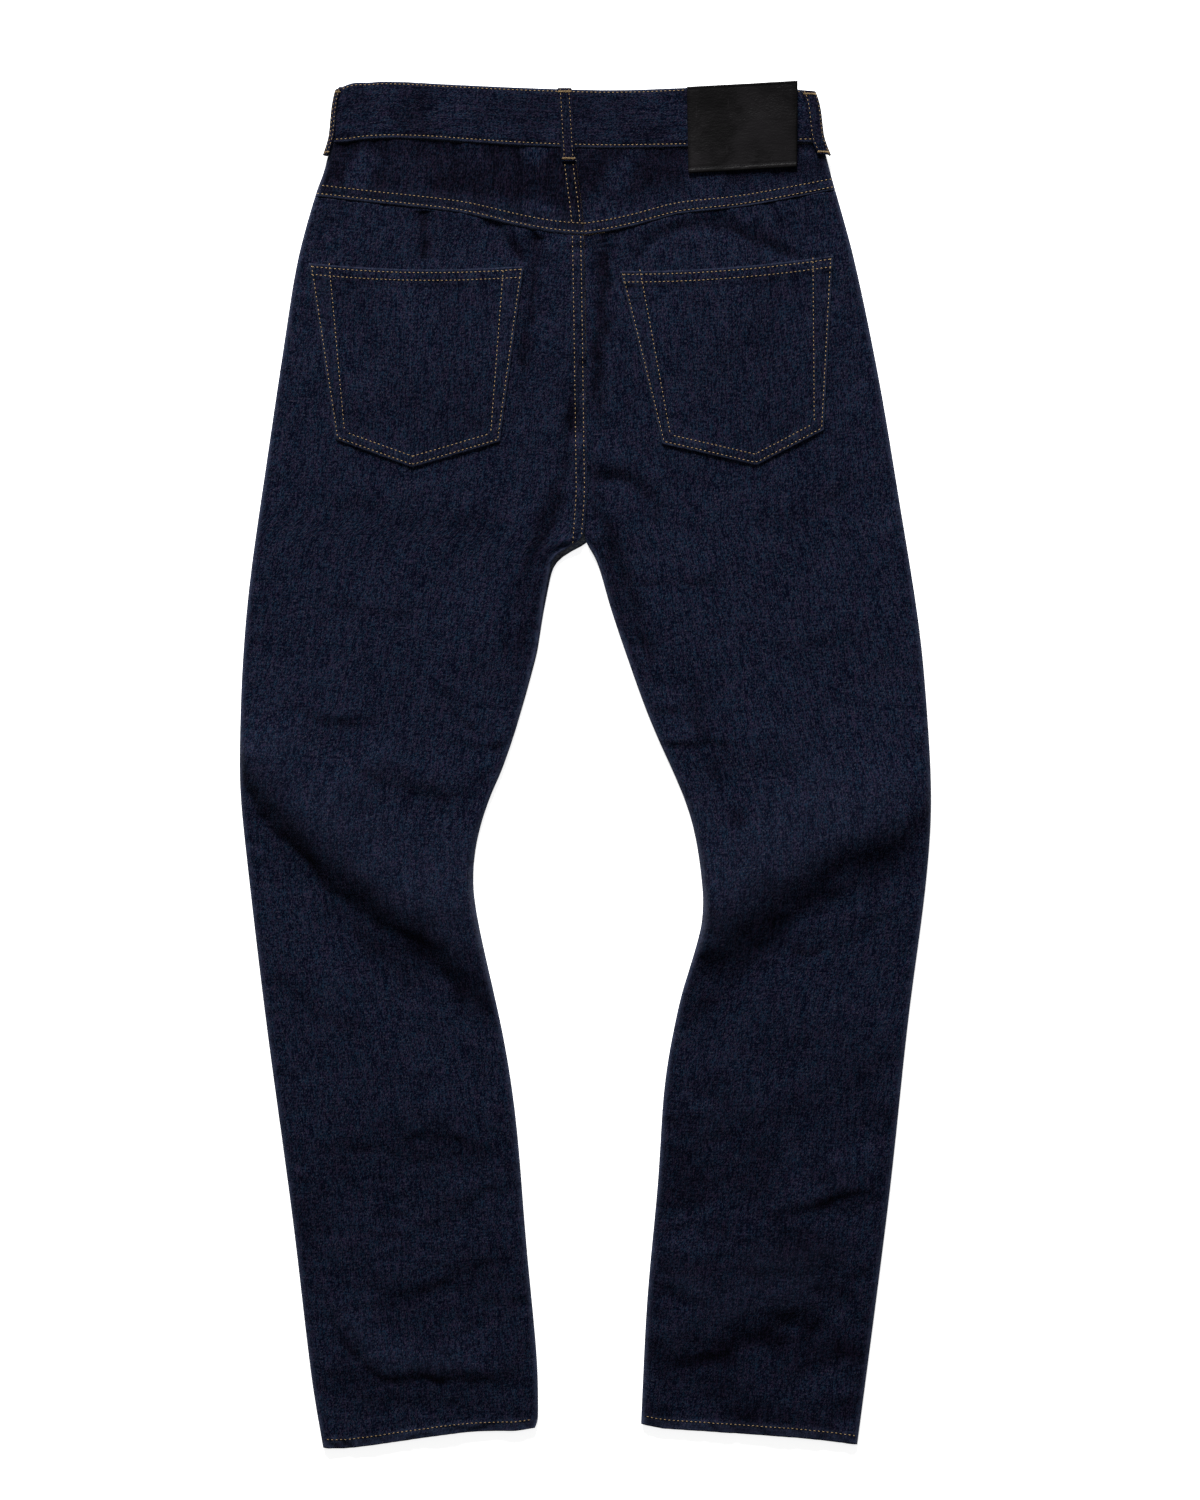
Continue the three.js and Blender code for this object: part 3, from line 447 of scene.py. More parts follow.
def make_cloth(name, cloth, thickness, materials, face=1, folded=(), worn=None, dyed=None):
    """A closed piece of cloth: its outer face, its rim and its wrong side."""
    outer, inner = cloth.shell(thickness, face, folded)
    rows, columns = cloth.z.shape
    count = rows * columns
    turned = face < 0
    at = np.arange(count).reshape(rows, columns)
    rim = np.concatenate([at[0, ::-1], at[1:, 0], at[-1, 1:], at[-2:0:-1, -1]])
    after = np.roll(rim, -1)
    rims = np.stack([rim, rim + count, after + count, after], 1)
    rims = rims if turned else rims[:, ::-1]
    sheets = grid_faces(rows, columns, 0, turned), grid_faces(rows, columns, count, not turned)
    faces = np.concatenate([sheets[0], rims, sheets[1]])
    points = np.concatenate([outer.reshape(-1, 3), inner.reshape(-1, 3)])
    places = np.tile(cloth.cloth_places().reshape(-1, 2), (2, 1))
    worn, dyed = (None if part is None else np.tile(np.ravel(part), 2) for part in (worn, dyed))
    behind = (rows - 1) * (columns - 1)
    return make_piece(name, points, faces, places, materials, worn, behind, dyed)


EDGE_ROUNDING = 0.35
SMALL_DYED = 0.5  # how much dye a small piece has kept, all over


def soften_node(name, node, materials):
    """A piece on a node's own faces, with its edges rounded and its facets smoothed."""
    points, faces = node_mesh(node)
    work = bmesh.new()
    corners = [work.verts.new(point) for point in points]
    for face in faces:
        work.faces.new([corners[i] for i in face])
    bmesh.ops.remove_doubles(work, verts=work.verts, dist=0.001)
    bmesh.ops.join_triangles(work, faces=work.faces, angle_face_threshold=0.6, angle_shape_threshold=1.2)
    work.normal_update()
    sharp = [e for e in work.edges if e.is_manifold and e.calc_face_angle(0) > 0.9]
    bmesh.ops.bevel(work, geom=sharp, offset=EDGE_ROUNDING, segments=2, profile=0.6, affect="EDGES")
    mesh = bpy.data.meshes.new(name)
    work.to_mesh(mesh)
    work.free()
    shaped = bpy.data.objects.new(name, mesh)
    bpy.context.collection.objects.link(shaped)
    rounding = shaped.modifiers.new("rounding", "SUBSURF")
    rounding.levels = rounding.render_levels = 2
    ready = shaped.evaluated_get(bpy.context.evaluated_depsgraph_get())
    points = np.array([tuple(v.co) for v in ready.data.vertices])
    faces = [tuple(face.vertices) for face in ready.data.polygons]
    bpy.data.objects.remove(shaped)
    places = points[:, [0, 1]] + points[:, 2:] * (0.0, 1.0)
    dyed = np.full(len(points), SMALL_DYED)
    return make_piece(name, points, faces, places * MM, materials, dyed=dyed)


# ---------------------------------------------------------------- creases and puckers

# Creases of the upper layer: path as shares (across from the outer edge, down), how far the
# crest rises, how far it spreads towards the waist and towards the hem at its two ends, and
# whether it breaks off sharply on the hem's side. A crease that rises less than 0 is a valley.
CREASES = {
    "left": [
        # the deep fold behind the knee
        ([(-0.06, 0.43), (0.12, 0.472), (0.24, 0.503), (0.42, 0.532), (0.57, 0.55), (0.74, 0.57),
         (0.89, 0.592), (1.04, 0.62), (1.12, 0.66)], 5.2, (44, 60), (10, 34), True),
        ([(0.3, 0.563), (0.46, 0.588), (0.6, 0.612), (0.7, 0.64)], -1.4, (8, 12), (16, 20), False),
        # above the knee
        ([(0.74, 0.42), (0.87, 0.424), (1.03, 0.418)], 2.6, (7, 9), (5, 6), True),
        ([(0.4, 0.44), (0.56, 0.45), (0.72, 0.46), (0.88, 0.47)], 2.4, (14, 12), (13, 9), True),
        ([(0.64, 0.37), (0.76, 0.392), (0.9, 0.422)], 1.9, (10, 10), (7, 7), True),
        ([(0.1, 0.38), (0.25, 0.4), (0.42, 0.41), (0.55, 0.402)], 1.4, (20, 18), (16, 14), False),
        ([(0.2, 0.3), (0.42, 0.318), (0.6, 0.31)], 1.2, (20, 18), (14, 12), False),
        # along the inside of the thigh
        ([(0.97, 0.14), (0.945, 0.172), (0.91, 0.224), (0.94, 0.274), (0.9, 0.316), (0.9, 0.37)], -3.2,
         (5, 6), (6, 7), False),
        # the seat
        ([(0.83, -0.03), (0.815, 0.0), (0.828, 0.05), (0.81, 0.09), (0.79, 0.13), (0.785, 0.17)], -3.2,
         (5, 6), (6, 7), False),
        ([(0.4, -0.02), (0.415, 0.014), (0.44, 0.045)], -2.2, (5, 5), (5, 5), False),
        ([(0.62, -0.015), (0.7, 0.006), (0.79, 0.03)], -2.6, (5, 5), (6, 5), False),
        ([(0.98, 0.1), (0.955, 0.14), (0.93, 0.18)], -2.2, (6, 7), (6, 7), False),
        ([(0.06, 0.2), (0.3, 0.225), (0.55, 0.235), (0.8, 0.225)], 1.2, (26, 22), (20, 18), False),
        # below the knee
        ([(0.05, 0.6), (0.2, 0.63), (0.35, 0.65), (0.5, 0.655)], 1.2, (22, 20), (16, 16), False),
        ([(0.3, 0.69), (0.5, 0.7), (0.72, 0.694)], 1.1, (18, 16), (12, 12), False),
        ([(0.14, 0.746), (0.4, 0.748), (0.58, 0.744), (0.76, 0.75), (0.92, 0.775)], 2.3, (22, 16), (14, 10),
         True),
        ([(0.5, 0.822), (0.66, 0.812), (0.8, 0.796), (0.98, 0.786)], 2.2, (14, 12), (11, 9), True),
        ([(0.02, 0.846), (0.27, 0.85), (0.38, 0.868), (0.52, 0.872), (0.64, 0.862), (0.8, 0.848),
         (1.02, 0.846)], 2.6, (14, 13), (10, 11), True),
        ([(0.76, 0.884), (0.88, 0.887), (1.03, 0.89)], 1.7, (8, 8), (6, 6), True),
        ([(0.04, 0.876), (0.16, 0.894), (0.24, 0.918), (0.32, 0.94), (0.47, 0.942), (0.65, 0.949),
         (0.82, 0.947), (1.04, 0.944)], 3.4, (13, 16), (10, 10), True),
        ([(0.42, 0.962), (0.54, 0.968), (0.68, 0.97)], 1.6, (7, 7), (6, 6), True),
    ],
    "right": [
        ([(-0.12, 0.47), (0.17, 0.495), (0.4, 0.511), (0.56, 0.522), (0.73, 0.539), (0.95, 0.564),
         (1.1, 0.588), (1.24, 0.612)], 5.4, (60, 60), (14, 60), True),
        ([(0.8, 0.37), (0.84, 0.42), (0.83, 0.47), (0.78, 0.51)], -1.6, (9, 10), (9, 10), False),
        ([(0.84, 0.397), (0.93, 0.396), (1.04, 0.395)], 2.4, (8, 9), (6, 6), True),
        ([(0.72, 0.426), (0.88, 0.424), (1.04, 0.422)], 2.4, (8, 9), (7, 7), True),
        ([(0.6, 0.292), (0.76, 0.29), (0.92, 0.285)], 1.6, (14, 12), (9, 8), True),
        ([(0.15, 0.33), (0.35, 0.345), (0.55, 0.34)], 1.2, (20, 18), (14, 12), False),
        ([(0.99, 0.18), (0.965, 0.223), (0.95, 0.274), (0.935, 0.312), (0.935, 0.37)], -3.2, (5, 6), (6, 7),
         False),
        ([(0.72, 0.597), (0.52, 0.594), (0.34, 0.582), (0.1, 0.563)], 2.2, (14, 12), (14, 10), True),
        ([(0.925, -0.03), (0.92, 0.03), (0.93, 0.07), (0.95, 0.12), (0.955, 0.18)], -3.6, (5, 6), (6, 6),
         False),
        ([(1.02, 0.208), (0.92, 0.206), (0.84, 0.212), (0.785, 0.228), (0.765, 0.256)], -2.4, (4, 5),
         (6, 7), False),
        ([(0.98, 0.19), (0.86, 0.194), (0.77, 0.215)], 1.2, (9, 9), (7, 7), False),
        ([(0.84, 0.034), (0.76, 0.018), (0.6, 0.011), (0.46, 0.014), (0.36, 0.024), (0.16, 0.052)], -2.6,
         (5, 6), (6, 6), False),
        ([(0.1, 0.21), (0.3, 0.232), (0.52, 0.24)], 1.2, (24, 22), (20, 18), False),
        ([(0.3, 0.66), (0.5, 0.668), (0.7, 0.662)], 1.1, (18, 16), (12, 12), False),
        ([(0.9, 0.762), (0.71, 0.742), (0.54, 0.73), (0.37, 0.737)], 2.0, (18, 16), (14, 12), True),
        ([(0.5, 0.826), (0.35, 0.808), (0.22, 0.795), (0.04, 0.788)], 3.0, (14, 13), (11, 11), True),
        ([(0.66, 0.864), (0.42, 0.858), (0.22, 0.852), (-0.02, 0.85)], 2.3, (13, 13), (10, 10), True),
        ([(0.99, 0.872), (0.86, 0.88), (0.7, 0.9)], 2.2, (10, 10), (10, 8), True),
        ([(1.05, 0.916), (0.88, 0.92), (0.75, 0.918), (0.64, 0.903), (0.52, 0.888), (0.38, 0.884),
         (0.14, 0.89)], 4.6, (20, 24), (26, 26), True),
        ([(0.8, 0.94), (0.6, 0.924), (0.46, 0.915), (0.3, 0.918)], -1.6, (12, 12), (16, 16), False),
        ([(0.46, 0.962), (0.28, 0.938), (0.12, 0.918)], 1.7, (9, 9), (9, 9), True),
    ],
}


# Painted shade along the larger creases: path as above, how dark, and how far the painted shade
# spreads towards the waist and towards the hem at its two ends.
CREASE_SHADE_PATHS = {
    "left": [
        ([(0.02, 0.46), (0.09, 0.48), (0.21, 0.51), (0.33, 0.532), (0.48, 0.556), (0.6, 0.58),
         (0.73, 0.604), (0.84, 0.62), (0.96, 0.652), (1.02, 0.68)], 0.62, (6, 32), (7, 9)),
        ([(0.33, 0.762), (0.49, 0.766), (0.67, 0.764), (0.81, 0.768), (0.9, 0.782)], 0.36, (9, 8), (7, 7)),
        ([(0.54, 0.838), (0.68, 0.826), (0.81, 0.81)], 0.3, (8, 8), (7, 7)),
        ([(0.02, 0.856), (0.12, 0.86), (0.24, 0.866)], 0.3, (8, 8), (8, 8)),
        ([(0.26, 0.878), (0.4, 0.886), (0.56, 0.882), (0.7, 0.868), (0.95, 0.856)], 0.4, (9, 8), (7, 8)),
        ([(0.55, 0.894), (0.77, 0.894), (0.98, 0.898)], 0.36, (6, 6), (7, 7)),
        ([(0.13, 0.885), (0.16, 0.91), (0.22, 0.932), (0.32, 0.952), (0.52, 0.958), (0.7, 0.962),
         (0.97, 0.96)], 0.42, (8, 7), (7, 7)),
        ([(0.5, 0.45), (0.66, 0.462), (0.8, 0.47)], 0.3, (10, 10), (9, 9)),
        ([(0.645, 0.567), (0.81, 0.585), (0.95, 0.612)], 0.4, (17, 20), (15, 17)),
        ([(0.81, 0.004), (0.83, 0.026), (0.81, 0.058), (0.8, 0.092), (0.79, 0.126)], 0.7, (5, 5), (5, 5)),
        ([(0.93, 0.196), (0.89, 0.222), (0.86, 0.256), (0.93, 0.298), (0.94, 0.34), (0.96, 0.39)], 0.5,
         (5, 7), (5, 7)),
        ([(0.65, 0.012), (0.71, 0.016), (0.77, 0.028)], 0.6, (4, 4), (4, 4)),
        ([(0.41, 0.006), (0.44, 0.024), (0.46, 0.042)], 0.4, (4, 4), (4, 4)),
    ],
    "right": [
        ([(-0.02, 0.51), (0.1, 0.526), (0.32, 0.548), (0.46, 0.564), (0.6, 0.58), (0.72, 0.602),
         (0.84, 0.63), (0.94, 0.656), (1.0, 0.68)], 0.62, (10, 50), (6, 10)),
        ([(1.05, 0.89), (0.86, 0.886), (0.72, 0.892)], 0.5, (9, 9), (8, 8)),
        ([(1.0, 0.952), (0.75, 0.942), (0.6, 0.928), (0.47, 0.918), (0.32, 0.912), (0.18, 0.912)], 1.0,
         (17, 13), (17, 13)),
        ([(0.55, 0.832), (0.42, 0.818), (0.25, 0.81), (0.07, 0.8)], 0.5, (8, 9), (8, 9)),
        ([(0.84, 0.834), (0.6, 0.848), (0.4, 0.842), (0.12, 0.832)], 0.42, (14, 14), (10, 10)),
        ([(0.66, 0.866), (0.39, 0.866), (0.0, 0.862)], 0.55, (8, 8), (8, 8)),
        ([(0.27, 0.962), (0.42, 0.976), (0.55, 0.984)], 0.4, (7, 7), (7, 7)),
        ([(0.82, 0.38), (0.84, 0.43), (0.8, 0.49)], 0.25, (12, 12), (12, 12)),
        ([(0.5, 0.54), (0.79, 0.564), (1.04, 0.592)], 0.5, (14, 20), (16, 24)),
        ([(0.95, 0.004), (0.93, 0.038), (0.95, 0.08), (0.96, 0.122), (0.96, 0.16)], 0.8, (6, 6), (6, 6)),
        ([(0.99, 0.206), (0.92, 0.2), (0.84, 0.212), (0.78, 0.23)], 0.7, (4, 6), (5, 7)),
        ([(0.97, 0.226), (0.91, 0.258), (0.92, 0.29), (0.92, 0.324), (0.94, 0.366)], 0.55, (5, 7), (5, 7)),
        ([(0.71, 0.016), (0.58, 0.006), (0.43, 0.018), (0.27, 0.044)], 0.5, (4, 4), (5, 5)),
    ],
}


def near_path(cloth, side, path, reach, seed):
    """Which places are near a path, how far off it on the waist's side, and how far along it."""
    shares = np.array(path)
    across = shares[:, 0] if side == "left" else 1 - shares[:, 0]
    line = evenly(through(cloth.outline.place(across, shares[:, 1]), 60), 4)
    low, high = line.min(0) - 2.6 * reach, line.max(0) + 2.6 * reach
    x, y = cloth.x, cloth.y
    near = (x > low[0]) & (x < high[0]) & (y > low[1]) & (y < high[1])
    here = np.stack([x[near], y[near]], -1)
    if not near.any():
        return near, here, np.zeros(0), np.zeros(0), np.zeros(0)
    away = here[:, None] - line[None]
    nearest = (away**2).sum(-1).argmin(1)
    off = away[np.arange(len(here)), nearest]
    t = unit_steps(line)[nearest]
    span = line[-1] - line[0]
    way = np.sign(span[0]) if abs(span[0]) > 0.3 * abs(span[1]) else 1
    signed = np.linalg.norm(off, axis=1) * np.sign((t[:, 0] * off[:, 1] - t[:, 1] * off[:, 0]) * way)
    signed = signed + 3.2 * mottle(here[:, 0], here[:, 1], 15, 15, seed)
    share = nearest / (len(line) - 1)
    wander = np.array([noise.noise((s * len(line) * 0.09, seed * 7.3, 0.5)) for s in share])
    return near, here, signed, share, wander


def between(ends, share):
    """The value at a share of the way from the first of two ends to the second."""
    return ends[0] + (ends[1] - ends[0]) * share


BIG_FOLD = 5.0  # a crease that rises more starts steeply and is less broken up


def crease_height(cloth, side, seed):
    """How much the creases raise the cloth at each place, and how much painted shade it gets in their
    hollows.
    """
    total, painted_shade = np.zeros_like(cloth.x), np.zeros_like(cloth.x)
    for number, (path, rise, above, below, sharp) in enumerate(CREASES[side], int(seed)):
        near, here, signed, share, wander = near_path(cloth, side, path, max(*above, *below), number)
        uneven = 0.5 if rise > BIG_FOLD else 1.3
        broken = 1 + uneven * mottle(here[:, 0], here[:, 1], 24, 18, number + 0.5)
        up = 1.2 * between(above, share) * (1 + 0.5 * wander)
        fall = np.abs(signed) / np.maximum(between(below, share) * (1 - 0.4 * wander), 1)
        if sharp:
            hem_side = np.clip(1 - fall**1.7, 0, 1) - 0.16 * bell(fall - 1.12, 0.22)
        else:
            hem_side = bell(fall, 1)
        profile = np.where(signed > 0, bell(signed, up), hem_side)
        ends = 0.07 if rise > BIG_FOLD else 0.22 if rise > 0 else 0.12
        fade = smooth(share, 0, ends) * smooth(1 - share, 0, ends)
        height = rise * (0.52 if rise > 0 else 0.75) * (1 + 0.45 * wander)
        total[near] += height * fade * profile * (1 + 0.4 * (broken - 1))
        # painted shade: darker along a valley's bottom and along the foot of a ridge on the hem's side
        foot = smooth(fall, 0.0, 0.8) * (1 - smooth(fall, 0.9, 1.4))
        deep = profile**2 if rise < 0 else np.where(signed > 0, 0, foot)
        strength = min(0.6, (abs(rise) / (7.5 if rise > 0 else 3.6)) ** 0.8) * (1 + 0.6 * wander)
        painted_shade[near] = np.maximum(painted_shade[near], strength * fade * deep * broken)
    return total, painted_shade


def painted_crease_shade(cloth, side, seed):
    """How much painted shade darkens the hollows of the larger creases."""
    dark = np.zeros_like(cloth.x)
    for number, (path, strength, above, below) in enumerate(CREASE_SHADE_PATHS[side], int(seed) + 40):
        near, here, signed, share, wander = near_path(cloth, side, path, max(*above, *below), number)
        reach = np.where(signed > 0, between(above, share), between(below, share)) * (1 + 0.4 * wander)
        broken = 1 + 0.9 * mottle(here[:, 0], here[:, 1], 26, 14, number + 0.5)
        fade = smooth(share, 0, 0.14) * smooth(1 - share, 0, 0.14)
        dark[near] = np.maximum(dark[near], strength * bell(signed, reach) * fade * broken)
    return dark


def drape(cloth, seed, strength=1.0):
    """The small unevenness of cloth that lies loosely."""
    relief = 1.2 * cloth.mottle(44, 60, seed) + 0.7 * cloth.mottle(19, 26, seed + 3)
    return strength * (relief + 0.3 * cloth.mottle(8, 11, seed + 5) + 0.12 * cloth.mottle(4.5, 6, seed + 6))


def crumples(cloth, seed, height):
    """Short, slanting ridges where the cloth is pressed together."""
    slanted = mottle(cloth.x + 0.5 * cloth.y, cloth.y - 0.25 * cloth.x, 34, 17, seed)
    gathered = smooth(cloth.mottle(60, 50, seed + 8), -0.1, 0.25)
    return height * gathered * np.maximum(0.5 - np.abs(slanted) * 2.2, -0.2)


def seam_puckers(along, inset, seed, wave, reach, height=0.9):
    """Ripples across a seam, which fade out into the cloth."""
    return height * mottle(along, inset, wave, 34, seed) * bell(inset, reach)


SEAM_ROWS = (2.4, 8.8)  # twin stitches, in from the edge of a felled seam


def groove(inset, at, depth=0.3, width=0.9):
    """The dent that a row of stitches pulls into the cloth."""
    return -depth * bell(inset - at, width)


def seam_grooves(inset):
    """The dents of a felled seam's twin rows."""
    return sum(groove(inset, at) for at in SEAM_ROWS)


# ---------------------------------------------------------------- threads


class Stitching:
    """Rows of stitches, gathered into one piece."""

    SIDES_ROUND = 6
    RINGS = ((0, 0.5), (0.25, 0.95), (0.5, 1), (0.75, 0.95), (1, 0.5))  # how far along, how thick
    STEEPEST = 2.5  # a stitch that climbs more is left out

    def __init__(self, tree, face=1):
        self.tree, self.face = tree, face
        self.points, self.faces, self.places, self.dips = [], [], [], []

    def height(self, place):
        """How high the cloth lies at a place, or None beside it."""
        start = Vector((place[0], place[1], SEEN_FROM * self.face))
        hit = self.tree.ray_cast(start, Vector((0, 0, -self.face)))[0]
        return None if hit is None else hit.z

    def stitch(self, start, end, thick, lift, sunk):
        """One stitch, raised in its middle and sunk into the cloth at its ends."""
        start, end = np.array(start[:2], float), np.array(end[:2], float)
        middle = (start + end) / 2
        heights = [self.height(p) for p in (start, middle, end)]
        if any(h is None for h in heights) or max(heights) - min(heights) > self.STEEPEST:
            return
        sunk, lift = self.face * sunk, self.face * lift
        shoulders = [h * 0.72 + heights[1] * 0.28 + lift * 0.7 for h in heights]
        line = np.array(
            [
                [*start, heights[0] - sunk],
                [*(start * 0.72 + middle * 0.28), shoulders[0]],
                [*middle, heights[1] + lift],
                [*(end * 0.72 + middle * 0.28), shoulders[2]],
                [*end, heights[2] - sunk],
            ]
        )
        along = line[-1] - line[0]
        along /= np.linalg.norm(along)
        side = np.cross(along, (0, 0, 1))
        side /= np.linalg.norm(side)
        up = np.cross(side, along)
        n = self.SIDES_ROUND
        turn = np.linspace(0, 2 * math.pi, n, endpoint=False)
        ring = np.cos(turn)[:, None] * side + 0.85 * np.sin(turn)[:, None] * up
        first = len(self.points)
        length = np.linalg.norm(line[-1] - line[0])
        for place, (share, size) in zip(line, self.RINGS):
            self.points += (place + ring * thick * size).tolist()
            self.places += [(k / n * MM, (first * 0.37 + share * length) * MM) for k in range(n)]
        last = len(self.points) - n
        for ring_start in range(first, last, n):
            for k in range(n):
                a, b = ring_start + k, ring_start + (k + 1) % n
                self.faces.append((a, a + n, b + n, b))
        self.faces.append(tuple(first + k for k in range(n)))
        self.faces.append(tuple(last + k for k in reversed(range(n))))

    def row(self, line, pitch=3.4, fill=0.46, thick=0.26, lift=0.16, sunk=0.2, seed=0):
        """One row of stitches along a line in the plan."""
        knots = evenly(line, pitch)
        gap = (1 - fill) / 2
        for i, (a, b) in enumerate(zip(knots[:-1], knots[1:])):
            sway = 0.12 * noise.noise((i * 0.7, seed, 2.5))
            along = b - a
            side = np.array([-along[1], along[0]]) / max(np.linalg.norm(along), 1e-6) * sway
            self.stitch(a + along * gap + side, b - along * gap - side, thick, lift, sunk)
            # painted shade: a short near-black stub where the thread goes down into the cloth
            self.dips.append((a - along * gap * 0.9, a + along * gap * 0.9, thick * 0.75, 0.04, 0.02))

    def bar(self, start, end):
        """A bar tack: close stitches side by side from one end to the other."""
        width, pitch, thick = 1.6, 0.8, 0.2
        knots = evenly([start, end], pitch)
        along = (knots[-1] - knots[0]) / np.linalg.norm(knots[-1] - knots[0])
        side = np.array([-along[1], along[0]]) * width / 2
        lean = along * pitch * 0.4
        for knot in knots:
            self.stitch(knot - side - lean, knot + side + lean, thick, lift=0.32, sunk=0.1)

    def piece(self, name, materials):
        """The piece, with the painted shade between the stitches, as short near-black stubs, as its last
        faces.
        """
        stitches = len(self.faces)
        for dip in self.dips:
            self.stitch(*dip)
        dark = len(self.faces) - stitches
        made = make_piece(name, self.points, self.faces, self.places, materials, wrong_side=dark)
        return made


# ---------------------------------------------------------------- shader groups


class Graph:
    """A node tree that is filled in with short calls."""

    def __init__(self, tree):
        self.tree = tree

    def node(self, kind, **settings):
        made = self.tree.nodes.new(kind)
        for key, value in settings.items():
            setattr(made, key, value)
        return made

    def feed(self, socket, value):
        """Links another node's output to a socket, or sets the socket to a number or colour."""
        if isinstance(value, bpy.types.NodeSocket):
            self.tree.links.new(value, socket)
        else:
            socket.default_value = value

    def math(self, operation, *values, clamp=False):
        made = self.node("ShaderNodeMath", operation=operation, use_clamp=clamp)
        for socket, value in zip(made.inputs, values):
            self.feed(socket, value)
        return made.outputs[0]

    def scaled(self, vector, scale):
        made = self.node("ShaderNodeVectorMath", operation="MULTIPLY")
        self.feed(made.inputs[0], vector)
        made.inputs[1].default_value = scale
        return made.outputs[0]

    def noise(self, vector, scale=1.0, detail=2.0, roughness=0.5):
        made = self.node("ShaderNodeTexNoise")
        self.feed(made.inputs["Vector"], vector)
        self.feed(made.inputs["Scale"], scale)
        self.feed(made.inputs["Detail"], detail)
        self.feed(made.inputs["Roughness"], roughness)
        return made.outputs["Fac"]

    def remap(self, value, low, high, to_low=0.0, to_high=1.0):
        made = self.node("ShaderNodeMapRange", interpolation_type="SMOOTHSTEP")
        for socket, given in zip(made.inputs, (value, low, high, to_low, to_high)):
            self.feed(socket, given)
        return made.outputs[0]

    def position(self):
        return self.node("ShaderNodeTexCoord").outputs["Object"]

    def mix(self, share, first, second, blend="MIX"):
        made = self.node("ShaderNodeMix", data_type="RGBA", blend_type=blend)
        self.feed(made.inputs[0], share)
        self.feed(made.inputs[6], first)
        self.feed(made.inputs[7], second)
        return made.outputs[2]


TO_MM = (1000, 1000, 1000)


def shader_group(name, inputs, outputs):
    """An empty group with named sockets, and its input and output nodes."""
    tree = bpy.data.node_groups.new(name, "ShaderNodeTree")
    for label, kind, default in inputs:
        socket = tree.interface.new_socket(label, in_out="INPUT", socket_type=f"NodeSocket{kind}")
        if default is not None:
            socket.default_value = default
    for label, kind in outputs:
        tree.interface.new_socket(label, in_out="OUTPUT", socket_type=f"NodeSocket{kind}")
    graph = Graph(tree)
    return graph, graph.node("NodeGroupInput").outputs, graph.node("NodeGroupOutput").inputs


def twill_group():
    """Denim's steep diagonal ribs, uneven yarns both ways and pale weft flecks."""
    graph, given, out = shader_group(
        "Denim twill",
        [("Cloth", "Vector", None), ("Rib spacing", "Float", 1.15), ("Slub", "Float", 1.0)],
        [("Height", "Float"), ("Tone", "Float"), ("Flecks", "Float"), ("Hue", "Float")],
    )
    mm = graph.scaled(given["Cloth"], TO_MM)
    wobble = graph.noise(graph.scaled(mm, (0.16, 0.05, 1)), detail=1.0)
    parts = graph.node("ShaderNodeSeparateXYZ")
    graph.feed(parts.inputs[0], mm)
    across = graph.math("ADD", parts.outputs[0], graph.math("MULTIPLY", wobble, 1.6))
    ribs = graph.math("ADD", across, graph.math("MULTIPLY", parts.outputs[1], 0.5))
    turns = graph.math("DIVIDE", ribs, given["Rib spacing"])
    wave = graph.math("SINE", graph.math("MULTIPLY", turns, 2 * math.pi))
    rib = graph.math("ADD", graph.math("MULTIPLY", wave, 0.5), 0.5)
    # every float of yarn has taken the dye a little differently
    cell = graph.node("ShaderNodeCombineXYZ")
    graph.feed(cell.inputs[0], graph.math("FLOOR", graph.math("DIVIDE", across, 0.98)))
    graph.feed(cell.inputs[1], graph.math("FLOOR", graph.math("MULTIPLY", ribs, 1.3)))
    graph.feed(cell.inputs[2], graph.math("FLOOR", graph.math("DIVIDE", parts.outputs[1], 1.3)))
    floats = graph.node("ShaderNodeTexWhiteNoise")
    graph.feed(floats.inputs["Vector"], cell.outputs[0])
    warp = graph.noise(graph.scaled(mm, (0.85, 0.05, 1)), detail=2.0, roughness=0.7)
    streaks = graph.noise(graph.scaled(mm, (0.2, 0.012, 1)), detail=3.0, roughness=0.6)
    weft = graph.noise(graph.scaled(mm, (0.09, 0.85, 1)), detail=2.0, roughness=0.7)
    grain = graph.noise(graph.scaled(mm, (0.42, 0.4, 1)), detail=3.0, roughness=0.8)
    patches = graph.noise(graph.scaled(mm, (0.035, 0.03, 1)), detail=4.0, roughness=0.6)
    total = graph.math("MULTIPLY", wave, 0.02)
    yarns = (floats.outputs["Value"], 1.15), (warp, 1.75), (weft, 1.3)
    for value, share in (*yarns, (grain, 0.25), (streaks, 0.6), (patches, 0.35)):
        part = graph.math("MULTIPLY", graph.math("SUBTRACT", value, 0.5), share)
        total = graph.math("ADD", total, graph.math("MULTIPLY", part, given["Slub"]))
    tone = graph.remap(graph.math("ADD", total, 0.5), 0.1, 0.94)
    speck = graph.noise(graph.scaled(mm, (0.9, 0.7, 1)), detail=1.0, roughness=0.7)
    flecks = graph.remap(speck, 0.52, 0.68)
    height = graph.math("ADD", graph.math("MULTIPLY", rib, 0.5), graph.math("MULTIPLY", tone, 0.9))
    graph.feed(out["Height"], graph.math("ADD", height, graph.math("MULTIPLY", flecks, 0.35)))
    graph.feed(out["Tone"], tone)
    graph.feed(out["Flecks"], flecks)
    hue = graph.math("MULTIPLY", graph.noise(graph.scaled(mm, (0.24, 0.07, 1)), detail=3.0), 2.0)
    channels = graph.node("ShaderNodeSeparateColor")
    graph.feed(channels.inputs[0], floats.outputs["Color"])
    graph.feed(out["Hue"], graph.remap(graph.math("ADD", hue, channels.outputs[2]), 0.95, 2.05))
    return graph.tree


